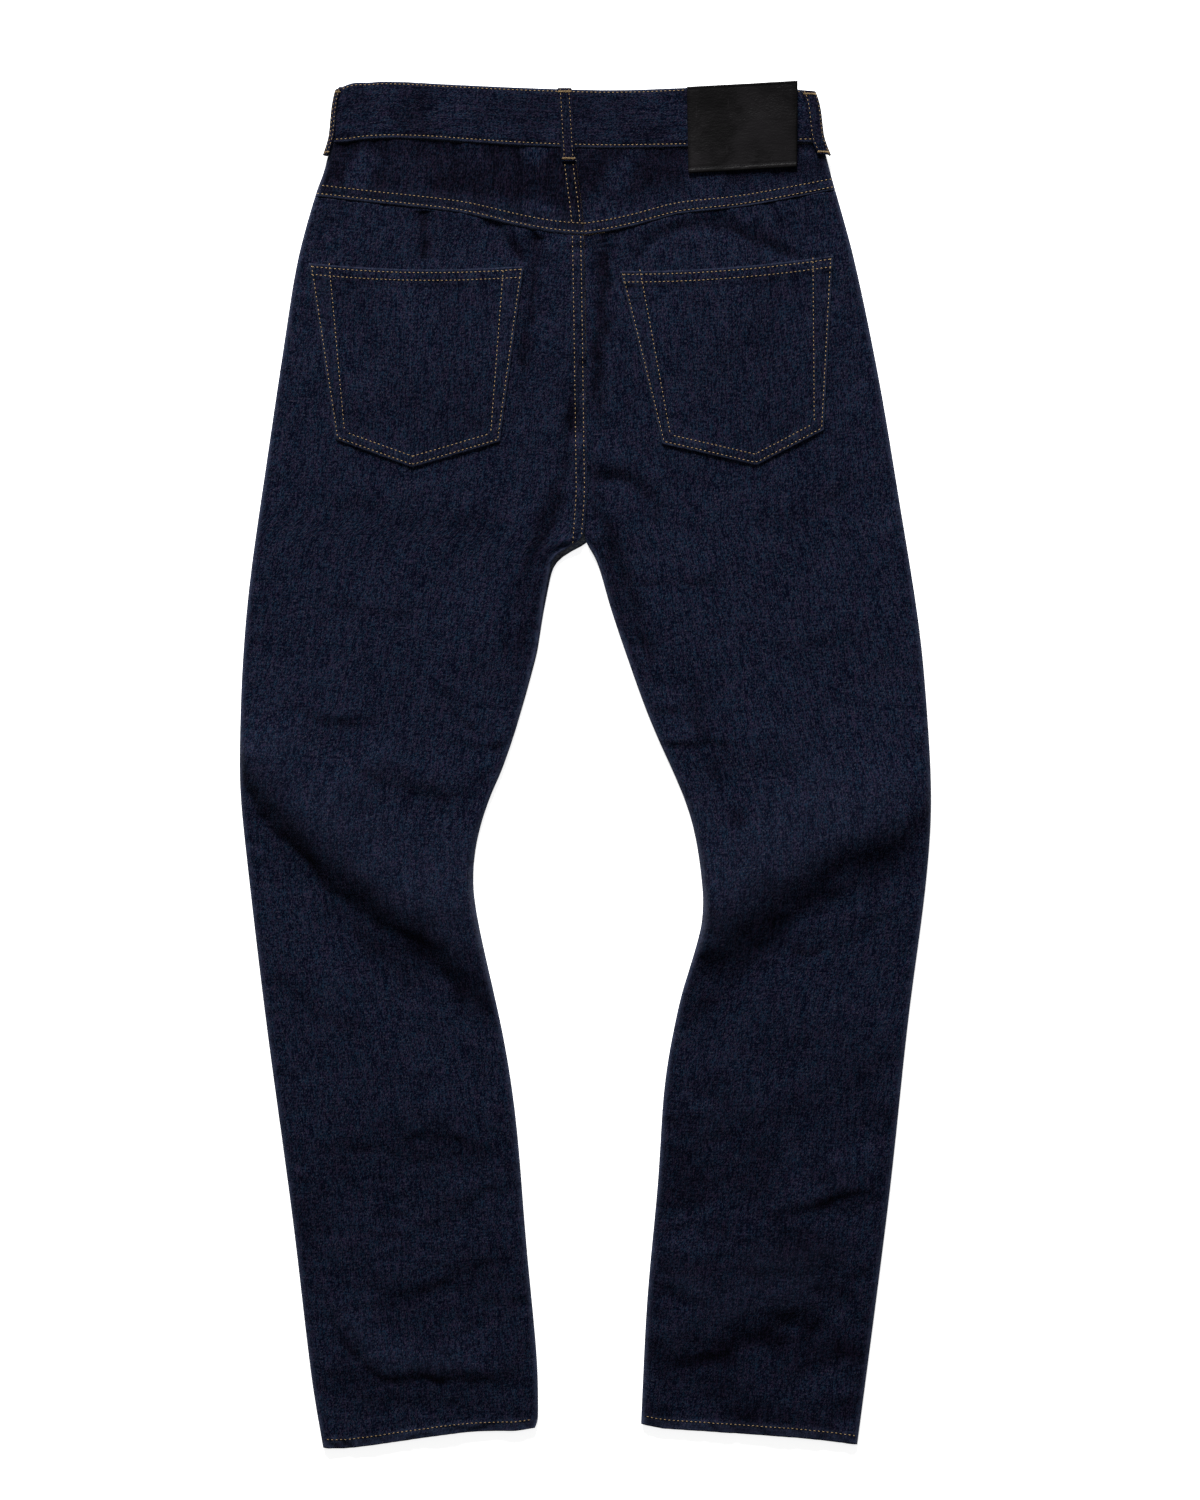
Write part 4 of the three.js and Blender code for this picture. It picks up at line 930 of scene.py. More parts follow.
def wear_group():
    """Where the dye is abraded along edges and raised seams, partly a painted highlight, and where the
    cloth has painted shade or darker dye; all broken up by the cloth.
    """
    graph, given, out = shader_group(
        "Rubbed edges",
        [("Position", "Vector", None), ("Amount", "Float", 1.0), ("Spot size", "Float", 6.0)],
        [("Mask", "Float"), ("Hollows", "Float"), ("Patches", "Float")],
    )
    dyed = graph.node("ShaderNodeAttribute", attribute_name="dyed").outputs["Fac"]
    worn = graph.node("ShaderNodeAttribute", attribute_name="worn").outputs["Fac"]
    mm = graph.scaled(given["Position"], TO_MM)
    spots = graph.node("ShaderNodeVectorMath", operation="SCALE")
    graph.feed(spots.inputs[0], mm)
    graph.feed(spots.inputs["Scale"], graph.math("DIVIDE", 1.0, given["Spot size"]))
    broken = graph.noise(spots.outputs[0], detail=4.0, roughness=0.65)
    # paler: abrasion, partly a painted highlight on rolled edges
    mask = graph.math("MULTIPLY", worn, graph.remap(broken, 0.2, 0.62))
    graph.feed(out["Mask"], graph.math("MULTIPLY", mask, given["Amount"], clamp=True))
    # darker: painted shade in creases and hollows, and darker dye at random
    hollows = graph.math("MULTIPLY", dyed, graph.remap(broken, 0.2, 0.6, 0.6, 1.0), clamp=True)
    graph.feed(out["Hollows"], hollows)
    graph.feed(out["Patches"], graph.noise(graph.scaled(mm, (0.011, 0.008, 0.011)), detail=3.0))
    return graph.tree


def leather_group():
    """Pebbled grain with fine wrinkles and a few faint scratches."""
    graph, given, out = shader_group(
        "Leather grain",
        [("Position", "Vector", None), ("Pebble size", "Float", 1.3)],
        [("Height", "Float"), ("Scuffs", "Float"), ("Mottle", "Float")],
    )
    mm = graph.scaled(given["Position"], TO_MM)
    pebbles = graph.node("ShaderNodeTexVoronoi", feature="SMOOTH_F1")
    graph.feed(pebbles.inputs["Vector"], mm)
    graph.feed(pebbles.inputs["Scale"], graph.math("DIVIDE", 1.0, given["Pebble size"]))
    wrinkles = graph.noise(graph.scaled(mm, (0.22, 0.5, 0.3)), detail=5.0, roughness=0.6)
    height = graph.math("SUBTRACT", 1.0, graph.math("MULTIPLY", pebbles.outputs["Distance"], 0.8))
    graph.feed(out["Height"], graph.math("ADD", height, graph.math("MULTIPLY", wrinkles, 1.6)))
    lines = graph.noise(graph.scaled(mm, (0.5, 0.045, 0.5)), detail=3.0, roughness=0.7)
    graph.feed(out["Scuffs"], graph.remap(lines, 0.62, 0.72))
    graph.feed(out["Mottle"], graph.noise(graph.scaled(mm, (0.035, 0.03, 0.035)), detail=4.0))
    return graph.tree


GROUPS = {"Denim twill": twill_group, "Rubbed edges": wear_group, "Leather grain": leather_group}


def material_maker(fill):
    """Turns a function that fills a material's graph into one that makes the material once."""

    def make(name, *values):
        material = bpy.data.materials.get(name)
        if material is None:
            material = bpy.data.materials.new(name)
            material.use_nodes = True
            material.node_tree.nodes.clear()
            graph = Graph(material.node_tree)
            shader = graph.node("ShaderNodeBsdfPrincipled")
            output = graph.node("ShaderNodeOutputMaterial")
            graph.tree.links.new(shader.outputs[0], output.inputs[0])
            fill(graph, shader.inputs, *values)
        return material

    return make


def placed(graph, group, **values):
    """One of the shared groups, placed in a material with its own values."""
    tree = bpy.data.node_groups.get(group) or GROUPS[group]()
    made = graph.node("ShaderNodeGroup", node_tree=tree)
    for name, value in values.items():
        graph.feed(made.inputs[name.replace("_", " ")], value)
    return made.outputs


def bumped(graph, shader, height, strength, distance):
    """Roughens a material's surface by a height mask."""
    bump = graph.node("ShaderNodeBump")
    bump.inputs["Strength"].default_value = strength
    bump.inputs["Distance"].default_value = distance
    graph.feed(bump.inputs["Height"], height)
    graph.feed(shader["Normal"], bump.outputs[0])


def tinted(colour, factor):
    """A colour made darker or paler, at most white."""
    return (*[min(1.0, c * factor) for c in colour[:3]], 1.0)


# The cloth's colours as shares of its red, green and blue: deep yarns, cool ones and warm ones.
RIGHT_SIDE = ((0.1, 0.14, 0.34), (1.35, 2.15, 1.85), (4.6, 1.6, 1.64))
WRONG_SIDE = ((0.3, 0.36, 0.5), (0.95, 1.05, 1.12), (1.15, 1.08, 1.0))


@material_maker
def denim_material(graph, shader, colour, tints, fleck, rubbed, wear):
    """The cloth's right side, or its paler wrong side with other colours."""
    cloth = graph.node("ShaderNodeUVMap", uv_map="Cloth").outputs[0]
    twill = placed(graph, "Denim twill", Cloth=cloth)
    worn = placed(graph, "Rubbed edges", Position=graph.position(), Amount=wear)
    deep, cool, warm = ((*[c * share for c, share in zip(colour, shares)], 1.0) for shares in tints)
    # The colour below darkens the cloth where it has painted shade in creases and hollows, and where its
    # dye is darker at random.
    painted_shade = (0.29, 0.19, 0.27, 1.0)
    base = graph.mix(twill["Tone"], deep, graph.mix(twill["Hue"], cool, warm))
    fleck_share = graph.math("MULTIPLY", graph.math("MULTIPLY", twill["Flecks"], twill["Tone"]), 0.75)
    base = graph.mix(fleck_share, base, tinted(fleck, 1.0))
    base = graph.mix(graph.math("MULTIPLY", worn["Hollows"], 0.95), base, painted_shade, "MULTIPLY")
    # Paler where abrasion took the dye, partly a painted highlight along the rolled edges.
    base = graph.mix(worn["Mask"], base, tinted(rubbed, 1.0))
    graph.feed(shader["Base Color"], base)
    graph.feed(shader["Roughness"], graph.remap(twill["Height"], 0.2, 1.6, 0.95, 0.78))
    shader["Specular IOR Level"].default_value = 0.025
    shader["Sheen Weight"].default_value = 0.008
    shader["Sheen Roughness"].default_value = 0.5
    bumped(graph, shader, twill["Height"], 0.6, 0.0003)


@material_maker
def thread_material(graph, shader, colour):
    """Twisted sewing thread."""
    along = graph.node("ShaderNodeUVMap", uv_map="Cloth").outputs[0]
    worn = placed(graph, "Rubbed edges", Position=graph.position(), Amount=1.0)
    parts = graph.node("ShaderNodeSeparateXYZ")
    graph.feed(parts.inputs[0], graph.scaled(along, (1000, 1000, 1)))
    turns = graph.math("ADD", graph.math("MULTIPLY", parts.outputs[1], 9.0), parts.outputs[0])
    ply = graph.math("SINE", turns)
    shade = graph.remap(ply, -1.0, 0.6)
    base = graph.mix(shade, tinted(colour, 0.55), tinted(colour, 1.1))
    base = graph.mix(graph.remap(worn["Patches"], 0.4, 0.6, 0.0, 0.4), base, tinted(colour, 0.7))
    graph.feed(shader["Base Color"], base)
    graph.feed(shader["Roughness"], graph.remap(ply, -1.0, 1.0, 0.62, 0.5))
    shader["Specular IOR Level"].default_value = 0.1
    bumped(graph, shader, ply, 0.5, 0.0002)


@material_maker
def leather_material(graph, shader, colour):
    """Black leather, semi-matt, with darker and paler spots, a painted highlight and painted shade."""
    position = graph.position()
    grain = placed(graph, "Leather grain", Position=position, Pebble_size=1.25)
    worn = placed(graph, "Rubbed edges", Position=position, Amount=0.8)
    base = graph.mix(graph.remap(grain["Mottle"], 0.4, 0.6), tinted(colour, 0.5), tinted(colour, 1.5))
    base = graph.mix(graph.math("MULTIPLY", grain["Scuffs"], 0.3), base, tinted(colour, 3.6))
    # paler: edges and a painted highlight
    base = graph.mix(worn["Mask"], base, tinted(colour, 3.0))
    # darker: painted shade and darker edges
    base = graph.mix(graph.math("MULTIPLY", worn["Hollows"], 0.85), base, tinted(colour, 0.1))
    graph.feed(shader["Base Color"], base)
    graph.feed(shader["Roughness"], graph.remap(grain["Mottle"], 0.3, 0.7, 0.56, 0.36))
    shader["Specular IOR Level"].default_value = 0.05
    bumped(graph, shader, grain["Height"], 0.5, 0.0004)


@material_maker
def metal_material(graph, shader, colour, roughness):
    """Brass with rubbed high spots and darker hollows."""
    position = graph.position()
    worn = placed(graph, "Rubbed edges", Position=position, Amount=1.0, Spot_size=1.5)
    mm = graph.scaled(position, TO_MM)
    tarnish = graph.noise(mm, scale=0.6, detail=5.0, roughness=0.65)
    base = graph.mix(graph.remap(tarnish, 0.35, 0.7), tinted(colour, 0.45), tinted(colour, 1.0))
    base = graph.mix(worn["Mask"], base, tinted(colour, 1.4))
    graph.feed(shader["Base Color"], base)
    graph.feed(shader["Roughness"], graph.remap(tarnish, 0.3, 0.7, roughness + 0.18, roughness))
    shader["Metallic"].default_value = 1.0
    bumped(graph, shader, tarnish, 0.25, 0.0001)


@material_maker
def floor_material(graph, shader):
    """A pale matt surface that glows a little, so that it stays white."""
    spots = graph.noise(graph.position(), scale=3.0, detail=3.0)
    graph.feed(shader["Base Color"], graph.mix(spots, (0.9, 0.9, 0.9, 1), (0.93, 0.93, 0.93, 1)))
    shader["Roughness"].default_value = 0.9
    shader["Specular IOR Level"].default_value = 0.1
    shader["Emission Color"].default_value = (1, 1, 1, 1)
    shader["Emission Strength"].default_value = 0.75


def denim(context):
    """The materials of the cloth's right and wrong side."""
    given = context.scene.jeans_cloth
    others = given.fleck, given.rubbed
    return [
        denim_material("indigo denim", given.indigo, RIGHT_SIDE, *others, 1.0),
        denim_material("denim wrong side", given.wrong_side, WRONG_SIDE, *others, 0.3),
    ]


def threads(context, name="gold"):
    """A thread's material, and the near-black one that paints the shade where the thread goes down into the
    cloth.
    """
    given = context.scene.jeans_thread
    thread = thread_material(f"{name} thread", getattr(given, name))
    return [thread, thread_material("needle dips", given.dips)]


# ---------------------------------------------------------------- the pieces

HEM_DEPTH = 9.0
HEM_ROW = 7.0
PATCH_ROW = 3.6
CROTCH = 0.2577  # how far down a back leg's inner edge the crotch is, as a share
PIECES = {}  # the pieces made so far, by the node that each stands for
PANELS = {}  # and their grids


def keep(piece, node, grid=None):
    """Puts a piece in its node's place, and where later pieces find it."""
    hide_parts(node)
    PIECES[node] = piece
    PANELS[node] = grid


def wall_of(context):
    """The thickness of one layer of cloth in millimetres."""
    return context.scene.jeans_cloth.thickness / MM


def cloth_piece(context, node, cloth, wall, **given):
    """The closed piece of denim that stands for a node."""
    keep(make_cloth(f"{node}_cloth", cloth, wall, denim(context), **given), node, cloth)


def small_piece(context, node):
    """A belt loop or a pocket's facing, on the node's own form."""
    keep(soften_node(f"{node}_cloth", node, denim(context)), node)


def kept_above(cloth, wall):
    """Raises what would sink into what lies below the back of the jeans."""
    below = [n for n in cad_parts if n.startswith(("front_leg", "pocket_facing", "fly", "waistband"))]
    cell = (slice(None, None, 3), slice(None, None, 3))
    between_layers = 8.2  # above the front of the jeans, and below the highest part of the back
    heights = skin_height(node_tree(*below), cloth.x[cell], cloth.y[cell], start=between_layers)
    heights = np.nan_to_num(heights, nan=0.0)
    v = np.linspace(0, 1, cloth.z.shape[0])[:, None] + 0 * cloth.z
    u = np.linspace(0, 1, cloth.z.shape[1])[None, :] + 0 * cloth.z
    floor = sampled(np.maximum(heights, blurred(heights, 1.5)), v, u) + wall + 0.5
    cloth.z = np.maximum(cloth.z, floor)


def back_leg_relief(cloth, side, seed):
    """The creases, puckers and roping of a back leg, and how much painted shade each place gets."""
    out, inn = cloth.from_sides(side)[2:]
    relief, dyed = crease_height(cloth, side, seed)
    dyed = np.maximum(dyed, painted_crease_shade(cloth, side, seed))
    relief += drape(cloth, seed)
    relief += seam_puckers(cloth.from_top, out, seed + 1, 8, 17)
    relief += seam_puckers(cloth.from_top, inn, seed + 2, 7.5, 15)
    relief += seam_puckers(cloth.x, cloth.from_top, seed + 4, 7, 12, 0.7)
    roping = mottle(cloth.x + 0.7 * cloth.from_foot, cloth.from_foot, 5.2, 26, seed + 6)
    relief += 1.5 * roping * bell(cloth.from_foot - 4, 9)
    relief += 0.7 * cloth.mottle(13, 9, seed + 19) * smooth(cloth.v, 0.66, 0.78)
    shin = smooth(cloth.v, 0.68, 0.76) + 0.8 * bell(cloth.v - 0.6, 0.05) + 0.7 * bell(cloth.v - 0.44, 0.04)
    for number, height, where in ((9, 1.7, shin), (14, 1.3, bell(cloth.v - 0.02, 0.07))):
        folds = crumples(cloth, seed + number, height) * where
        relief += folds
        # painted shade on the crumples' slopes that rise towards the hem
        dyed = np.maximum(dyed, 0.5 * smooth(np.gradient(folds, axis=0), 0.1, 0.5))
    # painted shade: darker towards the hem, more on the right leg, and a little near the top, broken up at
    # random
    painted_leg_shade = (0.22 if side == "left" else 0.42) * smooth(cloth.v, 0.6, 0.8)
    painted_leg_shade = painted_leg_shade + 0.1 * (1 - smooth(cloth.v, 0.1, 0.25))
    painted_leg_shade *= 1 + 2.2 * cloth.mottle(48, 26, seed + 17)
    return relief, np.maximum(dyed, painted_leg_shade)


def back_leg(context, side):
    """A back leg, from the yoke's seam to the hem, with its folds."""
    node = f"back_leg_{side}"
    cloth = Cloth(Outline(node).smooth_edges(left=2.5, right=2.0, top=3, foot=3), (2.5, 2.75))
    cloth.lie_on(node_tree(node), spread=1.9)
    outer, inner, out, inn = cloth.from_sides(side)
    relief, dyed = back_leg_relief(cloth, side, 11.0 if side == "left" else 29.0)
    crotch = CROTCH * cloth.outline.length
    seat = 1 - smooth(cloth.from_top, crotch - 3, crotch + 4)
    below_crotch = bell(cloth.v - 0.31, 0.06) * (1 - seat)
    relief -= 3.5 * bell(inn, 13) * below_crotch
    # painted shade along the inner edge below the crotch, beside the dip pressed in above
    dyed = np.maximum(dyed, 0.55 * bell(inn - 7, 10) * below_crotch)
    inside = smooth(out, 0, 5) * np.where(seat > 0.5, 1, smooth(inn, 0, 5))
    cloth.z = cloth.z + relief * inside
    kept_above(cloth, wall_of(context))
    hem = cloth.hem()
    cloth.z += 0.9 * hem * smooth(out, 1, 5) * smooth(inn, 1, 5)
    cloth.z += groove(cloth.from_foot, HEM_ROW)
    if side == "left":
        cloth.z += (0.85 * (1 - smooth(inn, 10.4, 11.8)) + seam_grooves(inn)) * seat
    cloth.fold_edge(outer)
    flat_seat = cloth.z.copy()
    cloth.fold_edge(inner)
    cloth.z = cloth.z * (1 - seat) + flat_seat * seat
    cloth.z -= seat * 0.6 * (1 - rounded(inn / 1.0))
    cloth.lap_edge("top", 0.8, 1.4)
    cloth.lap_edge("foot", 0.8, 1.2)
    seam = getattr(cloth, f"seam_{inner}")
    seam[:] = np.where(seat > 0.02, NO_SEAM, seam)
    wall = wall_of(context) * (1 + 0.9 * hem * smooth(out, 3, 6) * smooth(inn, 3, 6))
    # paler along the rolled edges and the hem: abrasion, partly a painted highlight where the edges roll
    # over
    worn = 0.75 * bell(out, 2.4) + 0.75 * bell(inn, 2.4) * (1 - seat) + 0.2 * bell(cloth.from_foot, 2.0)
    worn += 0.14 * hem + 0.04 * (side == "left") * seat * (1 - smooth(inn, 9, 12))
    worn += 0.04 * smooth(relief, 0.9, 2.6)
    cloth_piece(context, node, cloth, wall, folded=(outer, inner), worn=worn, dyed=dyed)


def yoke(context, side):
    """A yoke, whose lower edge and centre edge are felled seams."""
    node = f"yoke_{side}"
    cloth = Cloth(Outline(node).smooth_edges(left=2, right=2, top=4, foot=4), (2.4, 1.9))
    cloth.lie_on(node_tree(node), spread=1.6)
    outer, inner, out, inn = cloth.from_sides(side)
    seed = 41.0 if side == "left" else 57.0
    relief = drape(cloth, seed, 0.7)
    relief += seam_puckers(cloth.x, cloth.from_foot, seed + 1, 6.5, 13, 0.8)
    relief += seam_puckers(cloth.x, cloth.from_top, seed + 2, 8, 14, 1.1)
    relief -= 1.5 * bell(cloth.from_top - 6, 9) * (0.9 + cloth.mottle(30, 60, seed + 3))
    folds = crumples(cloth, seed + 5, 1.8) * bell(cloth.from_top - 14, 18)
    relief += folds
    # painted shade below the waistband, in patches
    patches = smooth(cloth.mottle(26, 34, seed + 9), -0.5, 0.12)
    dyed = 0.95 * (1 - smooth(cloth.from_top, 26, 56)) * patches
    # painted shade on the crumples' slopes that rise towards the hem
    dyed = np.maximum(dyed, 0.6 * smooth(np.gradient(folds, axis=0), 0.1, 0.45))
    # painted shade in the grooves of the seam's twin rows
    dyed = np.maximum(dyed, 0.5 * sum(bell(cloth.from_foot - at, 1.2) for at in SEAM_ROWS))
    over_lap = np.clip(smooth(np.abs(cloth.x), 34, 56) + smooth(cloth.from_top, 22, 34), 0.1, 1)
    cloth.z += relief * smooth(out, 0, 5) * over_lap
    kept_above(cloth, wall_of(context))
    band = 1 - smooth(cloth.from_foot, 10.2, 11.6)
    cloth.z += (0.8 * band + seam_grooves(cloth.from_foot)) * smooth(out, 0, 4)
    if side == "left":
        cloth.z += 0.7 * (1 - smooth(inn, 10.2, 11.6)) + seam_grooves(inn)
    cloth.fold_edge(outer)
    cloth.lap_edge(inner, 0.7, 1.2)
    cloth.lap_edge("foot", 0.9, 1.4)
    # paler along the folded edge and the seam: abrasion, partly a painted highlight where the edge rolls
    # over
    worn = 0.6 * bell(out, 2.4) + 0.5 * bell(cloth.from_foot, 1.6)
    worn += 0.04 * (1 - smooth(cloth.from_foot, 9, 11.5))
    cloth_piece(context, node, cloth, wall_of(context), folded=(outer,), worn=worn, dyed=dyed)


def front_leg(context, side):
    """A front leg, which lies on the surface with its outer face down."""
    node = f"front_leg_{side}"
    cloth = Cloth(Outline(node).smooth_edges(left=2.5, right=2.0, top=3, foot=3), (4.5, 4.5))
    cloth.lie_on(node_tree(node), face=-1, spread=1.5)
    outer, inner, out, inn = cloth.from_sides(side)
    seed = 71.0 if side == "left" else 83.0
    puckers = seam_puckers(cloth.from_top, np.minimum(out, inn), seed + 1, 8, 14)
    lift = 0.5 * np.abs(cloth.mottle(30, 50, seed)) + 0.3 * np.abs(puckers)
    relief, dyed = crease_height(cloth, side, seed)
    # painted shade in the creases of the side that lies down
    dyed = 0.8 * np.maximum(dyed, painted_crease_shade(cloth, side, seed))
    lift = lift + np.clip(0.25 * np.abs(relief), 0, 0.6)
    cloth.z += lift * smooth(out, 0, 5) * smooth(inn, 0, 5)
    cloth.fold_edge(outer, (2.4, 3.2))
    cloth.fold_edge(inner, (2.4, 3.2))
    wall = wall_of(context) * (1 + 0.7 * cloth.hem())
    # paler along the rolled edges and the hem: abrasion, partly a painted highlight where the edges roll
    # over
    worn = 0.7 * bell(out, 2.4) + 0.7 * bell(inn, 2.4) + 0.6 * bell(cloth.from_foot, 2.2)
    cloth_piece(context, node, cloth, wall, face=-1, folded=(outer, inner), worn=worn, dyed=dyed)


# Rows of stitches in a pocket: inset at the mouth and at the foot of its sides.
POCKET_EDGE_ROW = 1.7
POCKET_INNER_ROW = (15.6, 7.4)
POCKET_MOUTH_ROWS = (2.6, 8.6)
# And the rows of its grid that lie close to its top and foot.
POCKET_FINE_ROWS = (0, 0.4, 0.9, 1.6, 2.6, 3.8, 5.2, 6.8, 8.6, 10.4, 12.2)


def back_pocket(context, side):
    """A back pocket, sewn flat on the leg, with a double-stitched mouth."""
    node = f"back_pocket_{side}"
    outline = Outline(node, foot=(1.0, 0.5)).smooth_edges(top=6)
    cloth = Cloth(outline, (1.9, 1.9), fine_rows=POCKET_FINE_ROWS)
    legs = piece_tree("back_leg_left", "back_leg_right")
    wall = wall_of(context)
    cloth.lie_on(legs, margin=0.5, cell=3.0, spread=0.9, clearance=wall + 0.35)
    seed = 97.0 if side == "left" else 103.0
    sides = np.minimum(cloth.from_left, cloth.from_right)
    edge = np.minimum(sides, cloth.from_foot)
    inset = between(POCKET_INNER_ROW, cloth.v)
    band = np.maximum(1 - smooth(sides - inset, -0.6, 1.2), 1 - smooth(cloth.from_foot - 8.2, -0.6, 1.2))
    relief = 0.55 * band + 0.75 * (1 - smooth(cloth.from_top, 10.2, 11.4))
    relief += groove(edge, POCKET_EDGE_ROW, 0.35) + groove(sides, inset, 0.3) * (cloth.from_foot > 8)
    relief += groove(cloth.from_foot, 7.8, 0.3)
    relief += sum(groove(cloth.from_top, at, 0.35) for at in POCKET_MOUTH_ROWS)
    relief += seam_puckers(cloth.from_top, sides, seed, 6, 16, 0.9)
    relief += seam_puckers(cloth.x, cloth.from_foot, seed + 1, 6, 14, 0.9)
    relief += seam_puckers(cloth.x, cloth.from_top, seed + 2, 7, 10, 0.7)
    relief += 0.8 * cloth.mottle(34, 44, seed + 3) * smooth(edge, 4, 20)
    cloth.z += np.maximum(relief, -0.3)
    cloth.lap_all_round(0.7, 1.2)
    worn = 0.3 * bell(edge, 1.4) + 0.3 * bell(cloth.from_top, 1.6) + 0.03 * band
    cloth_piece(context, node, cloth, wall, worn=worn, dyed=0.15 + 0.3 * cloth.mottle(40, 50, seed + 7))


class Ring:
    """The waistband's outer face, from its end under the fly round the back to its other end."""

    FOLD = 3.8  # radius of the side folds
    DEPTH = 46.0
    DIP = 9.0  # how much lower the front is at its middle
    DIP_REACH = 185.0  # how far from the middle the dip starts
    OVERLAP = (24.0, -30.0)  # where the two ends are, across the middle of the front
    LAPPED = 2.9  # how much higher the upper end of the lap lies
    ROWS = (0, 0.4, 0.9, 1.5, 2.2, 3.0, 4.2, 5.6)
    FRONT, TURN, BACK = 56, 11, 156  # columns in each end, in each side fold and in the back
    UNDER, OVER = -9.0, 9.0  # marks that stand for an angle where the band lies flat
    SEEN = slice(60, 230)  # the columns of the back with the half of its folds
    HIDDEN = (slice(0, 55), slice(235, 290))  # those of the two ends
    THIN_ENDS, THIN = 40, 2.0  # how many columns of each end are thinner, and how thick they are

    def __init__(self):
        outline = Outline("waistband").smooth_edges(top=5, foot=5)
        points, tree = outline.points, node_tree("waistband")
        low, high = points[:, 0].min() + self.FOLD, points[:, 0].max() - self.FOLD
        first, last = self.OVERLAP
        run = [np.linspace(first, low, self.FRONT), np.full(self.TURN, low)]
        run += [np.linspace(low, high, self.BACK), np.full(self.TURN, high)]
        run += [np.linspace(high, last, self.FRONT)]
        self.across = np.concatenate(run)
        ends = np.cumsum([0, *map(len, run)])
        start, left_fold, back, right_fold, end = (slice(*pair) for pair in zip(ends, ends[1:]))
        turn = np.linspace(-math.pi / 2, math.pi / 2, self.TURN + 2)[1:-1]
        angle = np.full(ends[-1], self.UNDER)
        angle[left_fold], angle[back], angle[right_fold] = turn, self.OVER, turn[::-1]
        turning = np.abs(angle) < 2
        lower = np.where(turning, (1 - np.sin(angle)) / 2, angle < 0)
        rows = steps_between(self.DEPTH, 1.7, self.ROWS) / self.DEPTH
        share = rows[:, None]

        # the front is cut lower than the back, most of all in the middle
        dip = self.DIP * np.maximum(0, 1 - (self.across / self.DIP_REACH) ** 2)
        part = (self.across - low) / (high - low)
        bounds = []
        for edge in (outline.top, outline.foot):
            height = np.interp(self.across, edge[:, 0], edge[:, 1])
            for _ in range(4):
                near = np.interp(-height, -outline.left[:, 1], outline.left[:, 0])
                far = np.interp(-height, -outline.right[:, 1], outline.right[:, 0])
                height = np.interp(near + (far - near) * part, edge[:, 0], edge[:, 1])
            bounds.append(height)
        corner = 2.2 * bell(self.across - low - 8, 10)  # it is cut rounder than the model has it
        top, foot = bounds[0] + corner - dip * lower, bounds[1] + dip * (1 - lower)
        self.y = top + (foot - top) * share
        self.from_top, self.from_foot = (top - foot) * share, (top - foot) * (1 - share)
        left = np.interp(-self.y, -outline.left[:, 1], outline.left[:, 0]) + self.FOLD
        right = np.interp(-self.y, -outline.right[:, 1], outline.right[:, 0]) - self.FOLD
        flat = left + (right - left) * (self.across - low) / (high - low)
        swing = self.FOLD * np.cos(np.where(turning, angle, math.pi / 2))
        self.x = np.where(self.across < 0, flat - swing, flat + swing)
        inside = self.y.mean(0) + (self.y - self.y.mean(0)) * 0.93
        upper, under = skin_height(tree, self.x, inside), skin_height(tree, self.x, inside, -1)
        lapped = (np.arange(len(angle)) >= ends[4]) & (self.across < first + 1)
        heights = np.where(angle > 2, upper, np.where(angle < -2, under + self.LAPPED * lapped, np.nan))
        for flat_part in (start, back, end):
            heights[:, flat_part] = blurred(filled(heights[:, flat_part]), 2.0)
        for fold, above, below in ((left_fold, ends[2], ends[1] - 1), (right_fold, ends[3] - 1, ends[4])):
            climb = (1 + np.sin(angle[fold])) / 2
            heights[:, fold] = heights[:, [below]] * (1 - climb) + heights[:, [above]] * climb
        self.z = heights
        steps = np.hypot(np.diff(self.x[10]), np.diff(self.z[10]))
        self.along = np.broadcast_to(np.concatenate([[0], np.cumsum(steps)]), self.x.shape)
        self.relief = np.zeros_like(self.x)

    def shell(self, thickness, *_):
        """The outer and inner points of the band, which is thinner at its lapped ends."""
        columns = np.arange(self.x.shape[1])
        thin = (columns < self.THIN_ENDS) | (columns > len(columns) - self.THIN_ENDS)
        thickness = np.where(thin, self.THIN, thickness)[None, :, None]
        base = np.stack([self.x, self.y, self.z], -1)
        normal = np.cross(np.gradient(base, axis=0), np.gradient(base, axis=1))
        normal /= np.linalg.norm(normal, axis=-1, keepdims=True)
        return base + normal * self.relief[..., None], base - normal * thickness

    def cloth_places(self):
        return np.stack([self.from_top, self.along], -1) * MM

    def line(self, edge, inset, part=SEEN):
        """A line in the plan beside the top or the foot of a part of the band."""
        distance = self.from_top if edge == "top" else self.from_foot
        order = slice(None) if edge == "top" else slice(None, None, -1)
        columns = range(*part.indices(self.x.shape[1]))
        return np.array(
            [
                [np.interp(inset, distance[order, c], axis[order, c]) for axis in (self.x, self.y)]
                for c in columns
            ]
        )


def waistband(context):
    """The waistband, in a ring round the waist."""
    ring = Ring()
    edge = np.minimum(ring.from_top, ring.from_foot)
    relief = 0.7 * mottle(ring.along, ring.from_top, 26, 20, 5.0) * smooth(edge, 0, 6)
    relief += 0.55 * mottle(ring.along, ring.from_top, 7, 40, 6.0)
    relief += groove(ring.from_top, 2.0, 0.35) + groove(ring.from_foot, 2.6, 0.35)
    relief += 0.25 * bell(ring.from_foot - 6, 3)
    relief -= 1.0 * (1 - rounded(edge / 1.6))
    ring.relief = relief
    worn = 0.6 * bell(ring.from_top, 1.8) + 0.45 * bell(ring.from_foot, 1.6)
    dyed = 0.38 + 0.5 * mottle(ring.along, ring.from_top, 30, 24, 7.0)
    cloth_piece(context, "waistband", ring, 2.6, worn=worn, dyed=dyed)


